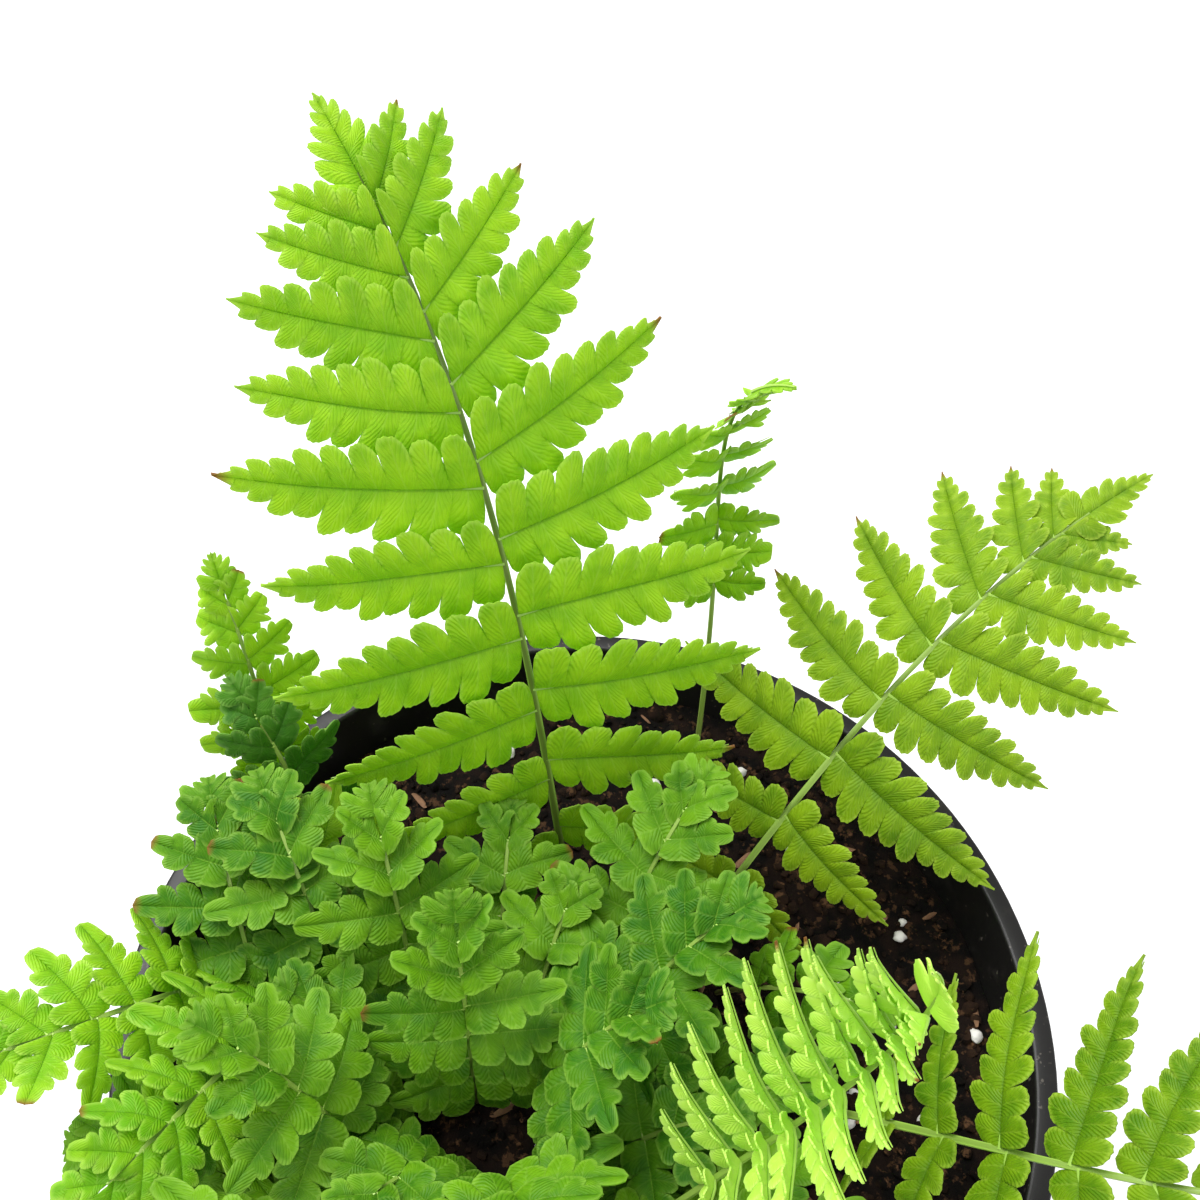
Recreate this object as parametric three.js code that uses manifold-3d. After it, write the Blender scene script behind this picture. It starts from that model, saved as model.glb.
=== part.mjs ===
// A potted ostrich fern: a round nursery pot, its potting mix and the fronds that stand in it.
// Millimetres, +Z up. The origin is the middle of the pot's underside.
// +Y points away from the photo's viewer and +X to the right.

import * as THREE from "three";
import { mergeVertices } from "three/addons/utils/BufferGeometryUtils.js";
import Module from "manifold-3d";

const wasm = await Module();
wasm.setup();

// Pot sizes
const potHeight = 165;
const potTopRadius = 82.5;
const potBaseRadius = 63.5;
const potWall = 1.6;
const potFloor = 2.2;
const rimWidth = 4;
const rimSkirt = 9;
const stepBelowRim = 24;
const stepWidth = 2.2;
const footRound = 2;
const potSides = 32;
const drainRadius = 5;
const drainRing = 40;
const drainCount = 4;

// Potting mix sizes
const clearance = 0.3;
const soilLevel = potHeight - 14;
const soilRipple = 0.8;
const soilRings = 2;

// Leaf and stem sizes
const bladeThickness = 0.7;
const stemTipRadius = 0.45;
const stemSides = 5;
const stemRings = 7;
const buriedStem = 7;
const holeDepth = 8;
const curveSteps = 60;

// How leaflets stand along a frond: lengths are shares of the longest one, places shares of the frond
const firstPairLength = 0.55;
const longestFrom = 0.22;
const longestTo = 0.45;
const lengthFade = 2.2;
const lengthEase = 1.1;
const crowding = 1.3;
const tipGap = 0.03;
const tipSpread = 0.45;
const pairShift = 0.012;
const tipShape = { baseWidth: 0.9, neck: 1, cut: 0.65, blunt: false, slant: 0.9 };
const tipLobes = 3;

// How a leaflet is set on the stem and bent, in degrees and shares of its length
const usualRaise = 6;
const louvreTilt = 12;
const droop = 0.12;
const sideCurve = 0.05;
const neckGap = 0.5;

// A leaflet's outline, in shares of its length and width
const widestAt = 0.3;
const widthFade = 2.2;
const widthEase = 0.9;
const constantWidth = 0.15;
const lobesEnd = 0.92;
const lobeCrowding = 1.25;
const leastRib = 0.5;
const leastLobe = 0.9;
const lobeSlant = 0.4;
const baseWidest = 0.85;
const baseNarrowing = 0.4;
const lobeFade = 0.6;
const bluntCorners = [
  { along: 0.22, lean: 0.7, reach: 0.98 },
  { along: 0.8, lean: 1, reach: 0.92 },
];

// A small frond's leaflets, in shares of their length, width and spacing
const ribHalf = 0.7;
const sag = 0.3;
const usualFold = 0.1;
const smallFirst = 0.85;
const smallFade = 0.55;
const smallWidth = 0.47;
const firstTooth = 0.32;
const teethEnd = 0.82;
const toothShrink = 0.45;
const toothGap = 0.22;
const notchDepth = 0.62;
const endWidth = 0.42;

const degree = Math.PI / 180;

// Closed bodies and booleans

function bodyFrom(points, triangles) {
  const geometry = new THREE.BufferGeometry();
  const flat = points.flatMap((point) => [point.x, point.y, point.z]);
  geometry.setAttribute("position", new THREE.Float32BufferAttribute(flat, 3));
  geometry.setIndex(triangles.flat());
  return geometry;
}

function solidFrom(geometry) {
  const bare = geometry.clone();
  bare.deleteAttribute("normal");
  bare.deleteAttribute("uv");
  const merged = mergeVertices(bare, 1e-4);
  const position = merged.getAttribute("position");
  const index = merged.getIndex().array;
  let triangles = [];
  for (let i = 0; i < index.length; i += 3) {
    const [a, b, c] = [index[i], index[i + 1], index[i + 2]];
    if (a !== b && b !== c && c !== a) triangles.push([a, b, c]);
  }
  const corner = (i) => new THREE.Vector3().fromBufferAttribute(position, i);
  const volume = triangles.reduce((sum, [a, b, c]) => sum + corner(a).dot(corner(b).cross(corner(c))), 0);
  if (volume < 0) triangles = triangles.map(([a, b, c]) => [a, c, b]);
  const mesh = new wasm.Mesh({
    numProp: 3,
    vertProperties: new Float32Array(position.array),
    triVerts: new Uint32Array(triangles.flat()),
  });
  return new wasm.Manifold(mesh);
}

function geometryFrom(solid) {
  const mesh = solid.getMesh();
  const geometry = new THREE.BufferGeometry();
  geometry.setAttribute("position", new THREE.BufferAttribute(mesh.vertProperties, 3));
  geometry.setIndex(new THREE.BufferAttribute(mesh.triVerts, 1));
  return geometry;
}

function joinAll(solids) {
  let joined = solids;
  while (joined.length > 1) {
    const next = [];
    for (let i = 0; i < joined.length; i += 2) {
      next.push(i + 1 < joined.length ? joined[i].add(joined[i + 1]) : joined[i]);
    }
    joined = next;
  }
  return joined[0];
}

// A rod of flat-sided rings, each ring a centre, two directions across it and a radius

function rodFrom(rings, sides) {
  const points = [];
  const triangles = [];
  for (const ring of rings) {
    for (let i = 0; i < sides; i += 1) {
      const angle = (2 * Math.PI * i) / sides;
      const point = ring.centre.clone();
      point.addScaledVector(ring.across, Math.cos(angle) * ring.radius);
      point.addScaledVector(ring.over, Math.sin(angle) * ring.radius);
      points.push(point);
    }
  }
  for (let r = 0; r + 1 < rings.length; r += 1) {
    for (let i = 0; i < sides; i += 1) {
      const a = r * sides + i;
      const b = r * sides + ((i + 1) % sides);
      triangles.push([a, b, b + sides], [a, b + sides, a + sides]);
    }
  }
  const last = (rings.length - 1) * sides;
  for (let i = 1; i + 1 < sides; i += 1) {
    triangles.push([0, i + 1, i], [last, last + i, last + i + 1]);
  }
  return bodyFrom(points, triangles);
}

// The pot, one moulded shell

function wallRadius(z) {
  const topRadius = potTopRadius - rimWidth + potWall;
  const straight = potBaseRadius + ((topRadius - potBaseRadius) * z) / potHeight;
  return z < potHeight - stepBelowRim ? straight - stepWidth * (z / (potHeight - stepBelowRim)) : straight;
}

function potProfile() {
  const step = potHeight - stepBelowRim;
  const skirt = potHeight - rimSkirt;
  const lipInner = potTopRadius - rimWidth;
  return [
    [0, 0],
    [potBaseRadius - footRound, 0],
    [potBaseRadius, footRound],
    [wallRadius(step - 0.01), step - potWall],
    [wallRadius(step), step],
    [wallRadius(skirt), skirt],
    [potTopRadius, skirt],
    [potTopRadius, potHeight],
    [lipInner, potHeight],
    [wallRadius(step) - potWall, step + potWall],
    [wallRadius(step - 0.01) - potWall, step],
    [potBaseRadius - potWall, potFloor],
    [0, potFloor],
  ];
}

function turned(profile, sides) {
  const geometry = new THREE.LatheGeometry(profile.map(([r, z]) => new THREE.Vector2(r, z)), sides);
  return geometry.rotateX(Math.PI / 2);
}

function drainHole(number) {
  const angle = (2 * Math.PI * number) / drainCount + Math.PI / 4;
  const geometry = new THREE.CylinderGeometry(drainRadius, drainRadius, 3 * potFloor, 12);
  geometry.rotateX(Math.PI / 2);
  return geometry.translate(drainRing * Math.cos(angle), drainRing * Math.sin(angle), 0);
}

function potGeometry() {
  let pot = solidFrom(turned(potProfile(), potSides));
  for (let i = 0; i < drainCount; i += 1) {
    pot = pot.subtract(solidFrom(drainHole(i)));
  }
  return geometryFrom(pot);
}

// The potting mix: it fills the pot, has an uneven top and a plain hole for every stem

function soilHeight(x, y) {
  const coarse = Math.sin(x / 11 + 1.3) * Math.cos(y / 13 + 0.4);
  const fine = 0.6 * Math.sin((x + 1.7 * y) / 8);
  return soilLevel + soilRipple * (coarse + fine);
}

function soilBody() {
  const step = potHeight - stepBelowRim;
  const edge = wallRadius(soilLevel) - potWall - clearance;
  const ledge = wallRadius(step) - potWall - clearance;
  const below = wallRadius(step - 0.01) - potWall - clearance;
  const foot = potBaseRadius - potWall - clearance;
  const points = [new THREE.Vector3(0, 0, soilHeight(0, 0))];
  const triangles = [];
  const addRing = (radius, height) => {
    for (let i = 0; i < potSides; i += 1) {
      const angle = (2 * Math.PI * i) / potSides;
      const [x, y] = [radius * Math.sin(angle), -radius * Math.cos(angle)];
      points.push(new THREE.Vector3(x, y, height(x, y)));
    }
  };
  for (let ring = 1; ring <= soilRings; ring += 1) {
    addRing((edge * ring) / soilRings, soilHeight);
  }
  addRing(ledge, () => step + potWall + clearance);
  addRing(below, () => step + clearance);
  addRing(foot, () => potFloor + clearance);
  const ringCount = soilRings + 3;
  for (let i = 0; i < potSides; i += 1) {
    const next = (i + 1) % potSides;
    triangles.push([0, 1 + i, 1 + next]);
    for (let ring = 0; ring + 1 < ringCount; ring += 1) {
      const upper = 1 + ring * potSides;
      const lower = upper + potSides;
      triangles.push([upper + i, lower + i, lower + next], [upper + i, lower + next, upper + next]);
    }
  }
  const bottom = points.length;
  points.push(new THREE.Vector3(0, 0, potFloor + clearance));
  const lastRing = bottom - potSides;
  for (let i = 0; i < potSides; i += 1) {
    triangles.push([lastRing + i, bottom, lastRing + ((i + 1) % potSides)]);
  }
  return bodyFrom(points, triangles);
}

// A frond's line: it leans out of the soil, arches over, swings sideways and may curl at its tip

function frondLine(frond) {
  const frames = [];
  const roll = (frond.roll ?? 0) * degree;
  const directionAt = (t) => {
    const lean = (frond.lean + frond.arch * t ** 2 + (frond.hook ?? 0) * t ** 6) * degree;
    const heading = (frond.heading + (frond.sweep ?? 0) * t ** 2) * degree;
    const outward = new THREE.Vector3(Math.cos(heading), Math.sin(heading), 0);
    const along = outward.clone().multiplyScalar(Math.sin(lean));
    along.z = Math.cos(lean);
    const level = new THREE.Vector3(-Math.sin(heading), Math.cos(heading), 0);
    const side = level.applyAxisAngle(along, roll);
    const face = new THREE.Vector3().crossVectors(along, side);
    return { along, side, face };
  };
  const point = new THREE.Vector3(frond.root[0], frond.root[1], soilLevel);
  frames.push({ point: point.clone(), ...directionAt(0) });
  for (let i = 0; i < curveSteps; i += 1) {
    const middle = directionAt((i + 0.5) / curveSteps);
    point.addScaledVector(middle.along, frond.length / curveSteps);
    frames.push({ point: point.clone(), ...directionAt((i + 1) / curveSteps) });
  }
  return (t) => {
    const place = Math.min(Math.max(t, 0), 1) * curveSteps;
    const i = Math.min(Math.floor(place), curveSteps - 1);
    const mix = place - i;
    const blend = (key) => frames[i][key].clone().lerp(frames[i + 1][key], mix);
    return {
      point: blend("point"),
      along: blend("along").normalize(),
      side: blend("side").normalize(),
      face: blend("face").normalize(),
    };
  };
}

function stemRadius(frond, t) {
  return frond.stem + (stemTipRadius - frond.stem) * t;
}

function stemRod(frond, line) {
  const rings = [];
  const root = line(0);
  const ringAt = (frame, radius) => ({ centre: frame.point, across: frame.side, over: frame.face, radius });
  const buried = root.point.clone().addScaledVector(root.along, -buriedStem);
  rings.push(ringAt({ ...root, point: buried }, frond.stem));
  const ringCount = frond.rings ?? stemRings;
  for (let i = 0; i <= ringCount; i += 1) {
    const t = (frond.teeth ? frond.bare + 0.05 : frond.last + tipGap + 0.02) * (i / ringCount);
    rings.push(ringAt(line(t), stemRadius(frond, t)));
  }
  return rodFrom(rings, frond.stemSides ?? stemSides);
}

function stemHole(frond) {
  const root = frondLine(frond)(0);
  const sides = frond.stemSides ?? stemSides;
  const radius = frond.stem + clearance / Math.cos(Math.PI / sides);
  const ringAt = (distance) => ({
    centre: root.point.clone().addScaledVector(root.along, distance),
    across: root.side,
    over: root.face,
    radius,
  });
  return rodFrom([ringAt(-holeDepth), ringAt(holeDepth)], sides);
}

// A thin blade: a flat outline put in its place, with the same triangles on both faces

function bladeFrom(flat, triangles, loop, place) {
  const upper = flat.map(([u, v]) => place(u, v, bladeThickness / 2));
  const lower = flat.map(([u, v]) => place(u, v, -bladeThickness / 2));
  const count = flat.length;
  const under = triangles.map(([a, b, c]) => [a + count, c + count, b + count]);
  const walls = loop.flatMap((a, i) => {
    const b = loop[(i + 1) % loop.length];
    return [[a, a + count, b + count], [a, b + count, b]];
  });
  return bodyFrom([...upper, ...lower], [...triangles, ...under, ...walls]);
}

// A leaflet's outline: lobes in pairs along a midrib, cut part of the way in, and a pointed end

function leafletWidth(s, baseWidth) {
  return Math.min(1, baseWidth + ((1 - baseWidth) * s) / widestAt) * (1 - s ** widthFade) ** widthEase;
}

function leafletBody(shape, place) {
  const { length, halfWidth, baseWidth, neck, lobes, cut, blunt, slant } = shape;
  const flat = [];
  const triangles = [];
  const add = (u, v) => flat.push([u, v]) - 1;
  const reachAt = (u) => halfWidth * leafletWidth(u / length, baseWidth);
  const stationAt = (k) => neck + (length * lobesEnd - neck) * (1 - (1 - k / lobes) ** lobeCrowding);
  const root = add(0, 0);
  const notches = [];
  for (let k = 0; k <= lobes; k += 1) {
    const u = stationAt(k);
    const inner = Math.max(leastRib, reachAt(u) * (1 - cut));
    notches.push({ u, inner, left: add(u, inner), right: add(u, -inner) });
  }
  const tip = add(length, 0);
  const first = notches[0];
  const last = notches[lobes];
  const edges = { left: [first.left], right: [first.right] };
  triangles.push([root, first.right, first.left], [last.left, last.right, tip]);
  for (let k = 0; k < lobes; k += 1) {
    const [near, far] = [notches[k], notches[k + 1]];
    triangles.push([near.left, near.right, far.right], [near.left, far.right, far.left]);
    const span = far.u - near.u;
    const reach = Math.max(leastLobe, reachAt(near.u + span / 2));
    const forward = slant * (reach - far.inner);
    const outline = blunt ? bluntCorners : [{ along: 0.5, lean: 1, reach: 1 }];
    for (const [side, sign] of [["left", 1], ["right", -1]]) {
      const corners = outline.map((corner) => {
        const u = near.u + corner.along * span + corner.lean * forward;
        return add(u, sign * corner.reach * reach);
      });
      const ring = [near[side], ...corners, far[side]];
      for (let i = 1; i + 1 < ring.length; i += 1) {
        triangles.push(sign > 0 ? [ring[0], ring[i + 1], ring[i]] : [ring[0], ring[i], ring[i + 1]]);
      }
      edges[side].push(...corners, far[side]);
    }
  }
  const loop = [root, ...edges.right, tip, ...edges.left.reverse()];
  return bladeFrom(flat, triangles, loop, place);
}

// One leaflet on its midrib, side 1 on the left of the frond's line and -1 on the right

function leafletLength(frond, t) {
  const low = Math.min(1, firstPairLength + ((1 - firstPairLength) * (t - frond.bare)) / longestFrom);
  const end = Math.min(1, Math.max(0, (t - longestTo) / ((frond.fade ?? 1) - longestTo)));
  return frond.longest * low * (1 - end ** lengthFade) ** lengthEase;
}

function leafletOn(frond, line, t, side) {
  const frame = line(t);
  const length = leafletLength(frond, t);
  const share = ((t - frond.bare) / (frond.last - frond.bare)) ** crowding;
  const forward = (frond.forward[0] + (frond.forward[1] - frond.forward[0]) * share) * degree;
  const outward = frame.side.clone().multiplyScalar(side);
  const axis = outward.clone().multiplyScalar(Math.cos(forward));
  axis.addScaledVector(frame.along, Math.sin(forward));
  const ahead = frame.along.clone().multiplyScalar(Math.cos(forward));
  ahead.addScaledVector(outward, -Math.sin(forward));
  const lift = (frond.raise ?? usualRaise) * degree;
  const lifted = axis.clone().multiplyScalar(Math.cos(lift)).addScaledVector(frame.face, Math.sin(lift));
  const face = frame.face.clone().multiplyScalar(Math.cos(lift)).addScaledVector(axis, -Math.sin(lift));
  const tilt = louvreTilt * degree;
  const across = ahead.clone().multiplyScalar(Math.cos(tilt)).addScaledVector(face, Math.sin(tilt));
  const normal = face.clone().multiplyScalar(Math.cos(tilt)).addScaledVector(ahead, -Math.sin(tilt));
  const halfWidth = frond.breadth * (constantWidth * frond.longest + (1 - constantWidth) * length);
  const shape = {
    length,
    halfWidth,
    baseWidth: baseWidest - baseNarrowing * Math.abs(Math.sin(forward)),
    neck: stemRadius(frond, t) + neckGap + 0.6 * halfWidth * Math.abs(Math.sin(forward)),
    lobes: Math.max(2, Math.round(frond.lobes * (length / frond.longest) ** lobeFade)),
    cut: frond.cut,
    blunt: frond.blunt ?? false,
    slant: lobeSlant,
  };
  const place = (u, v, w) => {
    const s = u / length;
    const point = frame.point.clone();
    point.addScaledVector(lifted, u);
    point.addScaledVector(across, v + sideCurve * length * s * s);
    return point.addScaledVector(normal, w - droop * length * s * s);
  };
  return leafletBody(shape, place);
}

function frondTip(frond, line) {
  const tipStart = frond.last + tipGap;
  const length = frond.length * (1 - tipStart);
  const shape = {
    length,
    halfWidth: leafletLength(frond, tipStart) * tipSpread,
    lobes: frond.tipLobes ?? tipLobes,
    ...tipShape,
  };
  const place = (u, v, w) => {
    const frame = line(tipStart + (u / length) * (1 - tipStart));
    return frame.point.addScaledVector(frame.side, v).addScaledVector(frame.face, w);
  };
  return leafletBody(shape, place);
}

// A small frond's leafy part: leaflets cut to the rib in the outline of one thin arched blade

function leafyBlade(frond, line) {
  const flat = [];
  const triangles = [];
  const edges = { left: [], right: [] };
  const add = (u, v) => flat.push([u, v]) - 1;
  const leafy = frond.length * (1 - frond.bare);
  const spacing = (leafy * frond.last) / frond.pairs;
  const ladder = (rungs, edge, side) => {
    const [outward, back] = [[], []];
    const addFace = (a, b, c) => triangles.push(side > 0 ? [a, b, c] : [a, c, b]);
    for (let i = 0; i + 1 < rungs.length; i += 1) {
      const [a, b] = rungs[i];
      const [c, d] = rungs[i + 1];
      addFace(a, b, d);
      if (c !== d) addFace(a, d, c);
      outward.push(c);
      if (c !== d) back.unshift(d);
    }
    edge.push(...outward, ...back);
  };
  const teethOf = (length, halfWidth, teeth) => {
    const rungs = [];
    for (let i = 0; i < teeth; i += 1) {
      const crest = firstTooth + ((teethEnd - firstTooth) * i) / teeth;
      const width = halfWidth * (1 - toothShrink * (i / teeth));
      rungs.push([crest * length, width]);
      if (i + 1 < teeth) rungs.push([(crest + toothGap / teeth) * length, notchDepth * width]);
    }
    rungs.push([length, 0]);
    return rungs;
  };
  let [left, right] = [add(0, ribHalf), add(0, -ribHalf)];
  edges.left.push(left);
  edges.right.push(right);
  for (let k = 0; k < frond.pairs; k += 1) {
    const start = spacing * k;
    const share = k / frond.pairs;
    const length = frond.longest * (k === 0 ? smallFirst : 1 - smallFade * share ** 1.5);
    const forward = (frond.forward[0] + (frond.forward[1] - frond.forward[0]) * share) * degree;
    const halfWidth = smallWidth * spacing * Math.cos(forward) * (1 - 0.1 * share);
    const [nextLeft, nextRight] = [add(start + spacing, ribHalf), add(start + spacing, -ribHalf)];
    triangles.push([left, right, nextRight], [left, nextRight, nextLeft]);
    const sides = [[edges.left, 1, left, nextLeft], [edges.right, -1, right, nextRight]];
    for (const [edge, side, from, to] of sides) {
      const rungs = teethOf(length, halfWidth, frond.teeth).map(([out, half]) => {
        const [u, v] = [start + spacing / 2 + out * Math.sin(forward), side * out * Math.cos(forward)];
        const [du, dv] = [half * Math.cos(forward), -side * half * Math.sin(forward)];
        const tip = half === 0 ? add(u, v) : undefined;
        return tip === undefined ? [add(u - du, v - dv), add(u + du, v + dv)] : [tip, tip];
      });
      ladder([[from, to], ...rungs], edge, side);
      edge.push(to);
    }
    [left, right] = [nextLeft, nextRight];
  }
  const endLength = leafy - spacing * frond.pairs;
  const endHalf = Math.min(endLength * endWidth, spacing / 2);
  const endRungs = teethOf(endLength, endHalf, 2).map(([out, half]) => {
    const u = spacing * frond.pairs + out;
    const tip = half === 0 ? add(u, 0) : undefined;
    return tip === undefined ? [add(u, half), add(u, -half)] : [tip, tip];
  });
  const endEdge = [];
  ladder([[left, right], ...endRungs], endEdge, 1);
  const loop = [...edges.right, ...endEdge.reverse(), ...edges.left.reverse()];
  const place = (u, v, w) => {
    const frame = line(frond.bare + (u / leafy) * (1 - frond.bare));
    const lift = (frond.fold ?? usualFold) * Math.abs(v) - (sag * v * v) / frond.longest;
    return frame.point.addScaledVector(frame.side, v).addScaledVector(frame.face, w + lift);
  };
  return bladeFrom(flat, triangles, loop, place);
}

function frondSolid(frond) {
  const line = frondLine(frond);
  const stem = solidFrom(stemRod(frond, line));
  if (frond.teeth) return stem.add(solidFrom(leafyBlade(frond, line)));
  const solids = [stem, solidFrom(frondTip(frond, line))];
  for (let pair = 0; pair < frond.pairs; pair += 1) {
    const s = pair / (frond.pairs - 1);
    const t = frond.bare + (frond.last - frond.bare) * (1 - (1 - s) ** crowding);
    const rightShift = frond.stagger ?? pairShift;
    solids.push(solidFrom(leafletOn(frond, line, t, 1)));
    solids.push(solidFrom(leafletOn(frond, line, t + rightShift, -1)));
  }
  return joinAll(solids);
}

// The fronds. Root is where a stem leaves the soil, heading the way it goes seen from above,
// lean its angle from upright, and arch, sweep and hook how much it bends along its length.

const grown = {
  stem: 1.1, rings: 11, cut: 0.52, breadth: 0.22, lobes: 5, blunt: true, forward: [-20, 40], last: 0.86,
  tipLobes: 4,
};
const open = {
  stem: 1, rings: 8, cut: 0.7, breadth: 0.16, lobes: 4, forward: [-22, 40], last: 0.83, fade: 0.95,
};
const combed = {
  stem: 0.9, stemSides: 4, rings: 7, cut: 0.55, breadth: 0.15, lobes: 2, forward: [10, 50], last: 0.84,
  tipLobes: 2,
};
const young = { stem: 0.8, stemSides: 4, rings: 5, teeth: 3, forward: [-5, 42], last: 0.8, pairs: 4 };
const small = {
  stem: 0.7, stemSides: 4, rings: 3, teeth: 1, forward: [-5, 40], last: 0.74, bare: 0.4, pairs: 3,
};

const largeFronds = [
  {
    ...grown, name: "frond_tall", root: [-5, 29], heading: 116, lean: 17, arch: 26, sweep: 27, roll: -14,
    length: 156, bare: 0.085, pairs: 10, longest: 42, stagger: 0.03,
  },
  {
    ...open, name: "frond_right", root: [13, 10], heading: 44, lean: 42, arch: 42, sweep: -13, roll: 10,
    length: 135, bare: 0.19, pairs: 8, longest: 35, raise: -6,
  },
  {
    ...young, name: "frond_back_young", root: [20, 54], heading: 84, lean: 26, arch: -37, sweep: 56,
    hook: -60, length: 110, bare: 0.5, rings: 8, pairs: 5, longest: 13, teeth: 2, fold: 0.5,
  },
  {
    ...young, name: "frond_left_pale", root: [-59, 38], heading: 118, lean: 12, arch: 19, length: 70,
    bare: 0.42, longest: 14, teeth: 2,
  },
  {
    ...small, name: "frond_left_dark", root: [-50, 27], heading: 132, lean: 13, arch: 40, sweep: 8, roll: -13,
    length: 55, longest: 15,
  },
  {
    ...young, name: "frond_left_low", root: [-36, 15], heading: 171, lean: 19, arch: 63, sweep: -24,
    roll: -20, length: 52, bare: 0.4, longest: 19,
  },
  {
    ...young, name: "frond_front_left", root: [-48, 9], heading: 255, lean: 39, arch: 60, sweep: -26,
    roll: -23, length: 78, bare: 0.3, longest: 21,
  },
  {
    ...young, name: "frond_left_edge", root: [-57, 10], heading: 236, lean: 33, arch: 61, sweep: -36,
    roll: -26, length: 74, bare: 0.42, pairs: 3, longest: 19,
  },
  {
    ...combed, name: "frond_front_young", root: [3, -38], heading: 14, lean: 27, arch: 9, sweep: 10,
    hook: -71, length: 110, bare: 0.34, pairs: 7, longest: 24, raise: 40,
  },
  {
    ...open, name: "frond_front_right", root: [36, -11], heading: 313, lean: 28, arch: 54, sweep: 51,
    roll: 20, length: 112, bare: 0.3, pairs: 7, longest: 32, breadth: 0.2, cut: 0.62,
  },
  {
    ...small, name: "frond_middle_right", root: [4, 27], heading: 312, lean: 46, arch: 50, sweep: 10,
    roll: 25, length: 34, longest: 12,
  },
  {
    ...small, name: "frond_low_right", root: [25, 9], heading: 323, lean: 26, arch: 65, sweep: 25, roll: 28,
    length: 46, longest: 12,
  },
];

// Five fronds in an arc round the front of the pot, every second one shorter and hanging lower

const frontCount = 5;
const frontFrom = 230;
const frontStep = 17;
const frontUpright = { ring: 50, lean: 20, arch: 52, length: 84, longest: 23 };
const frontLow = { ring: 58, lean: 36, arch: 64, length: 58, longest: 17 };

const front = Array.from({ length: frontCount }, (_, i) => {
  const heading = frontFrom + frontStep * i;
  const kind = i % 2 ? frontLow : frontUpright;
  return {
    ...small,
    ...kind,
    name: `frond_front_${i + 1}`,
    root: [kind.ring * Math.cos(heading * degree), kind.ring * Math.sin(heading * degree)],
    heading,
  };
});

// The low tuft: small fronds that rise from one crown in a widening spiral, every second one shorter.
// The outer ones lean and arch more. Each is turned aside, in degrees, until it is clear of the fronds
// that stand already, and a place where no turn is clear stays empty. Shared space of less than
// "touching", in cubic millimetres, counts as clear.

const tuftCount = 30;
const tuftCentre = [-18, -18];
const tuftSpread = 6.8;
const tuftWiden = 1.2;
const tuftStep = 137.5;
const tuftFrom = 100;
const tuftLean = 20;
const tuftArch = 34;
const tuftUpright = { lean: 2, arch: 40, length: 58, longest: 20, bare: 0.4 };
const tuftLow = { lean: 14, arch: 44, length: 40, longest: 18, bare: 0.3 };
const tuftTurns = [0, 10, -10, 20, -20, 30, -30, 40, -40, 50, -50];
const touching = 0.0005;

function tuftFrond(i) {
  const kind = i % 2 ? tuftLow : tuftUpright;
  const heading = (tuftFrom + tuftStep * i) % 360;
  const ring = tuftSpread * Math.sqrt(i + 0.5);
  const outer = i / (tuftCount - 1);
  return {
    ...small,
    ...kind,
    name: `frond_tuft_${i + 1}`,
    root: [
      tuftCentre[0] + tuftWiden * ring * Math.cos(heading * degree),
      tuftCentre[1] + ring * Math.sin(heading * degree),
    ],
    heading,
    lean: kind.lean + tuftLean * outer,
    arch: kind.arch + tuftArch * Math.sqrt(outer),
  };
}

function spaceOf(frond) {
  return frondSolid(frond).add(solidFrom(stemHole(frond)));
}

function growTuft() {
  const taken = [...largeFronds, ...front].map(spaceOf);
  const standing = [];
  for (let i = 0; i < tuftCount; i += 1) {
    const frond = tuftFrond(i);
    for (const turn of tuftTurns) {
      const turned = { ...frond, heading: frond.heading + turn };
      const space = spaceOf(turned);
      if (taken.every((other) => space.intersect(other).volume() < touching)) {
        taken.push(space);
        standing.push(turned);
        break;
      }
    }
  }
  return standing;
}

const fronds = [...largeFronds, ...growTuft(), ...front];

// Colours and finishes

const finishes = {
  pot: { color: 0x2d2b28, roughness: 0.5, metalness: 0 },
  soil: { color: 0x2b1e15, roughness: 0.95, metalness: 0 },
  leaf: { color: 0x6cb52d, roughness: 0.55, metalness: 0 },
};

function meshOf(name, geometry, finish) {
  const material = new THREE.MeshStandardMaterial({ ...finish, flatShading: true });
  const mesh = new THREE.Mesh(geometry, material);
  mesh.name = name;
  return mesh;
}

// The whole plant in its pot

const group = new THREE.Group();
group.add(meshOf("pot", potGeometry(), finishes.pot));

const soil = fronds.reduce((body, frond) => body.subtract(solidFrom(stemHole(frond))), solidFrom(soilBody()));
group.add(meshOf("potting_mix", geometryFrom(soil), finishes.soil));

for (const frond of fronds) {
  group.add(meshOf(frond.name, geometryFrom(frondSolid(frond)), finishes.leaf));
}

export default group;
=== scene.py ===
# %% [markdown]
# A young ostrich fern in a round black nursery pot.
# The real object is a moulded pot, a fill of dark peat with pale grains in it, and some forty fronds.
# Each frond is a stem that carries leaflets in pairs, and each leaflet is cut into rounded lobes.
# The frame gives the pot, the soil and every frond as a plain solid.
# This lesson dresses each of them in the same place.

# %% The frame and the tools
import math
import random

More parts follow.
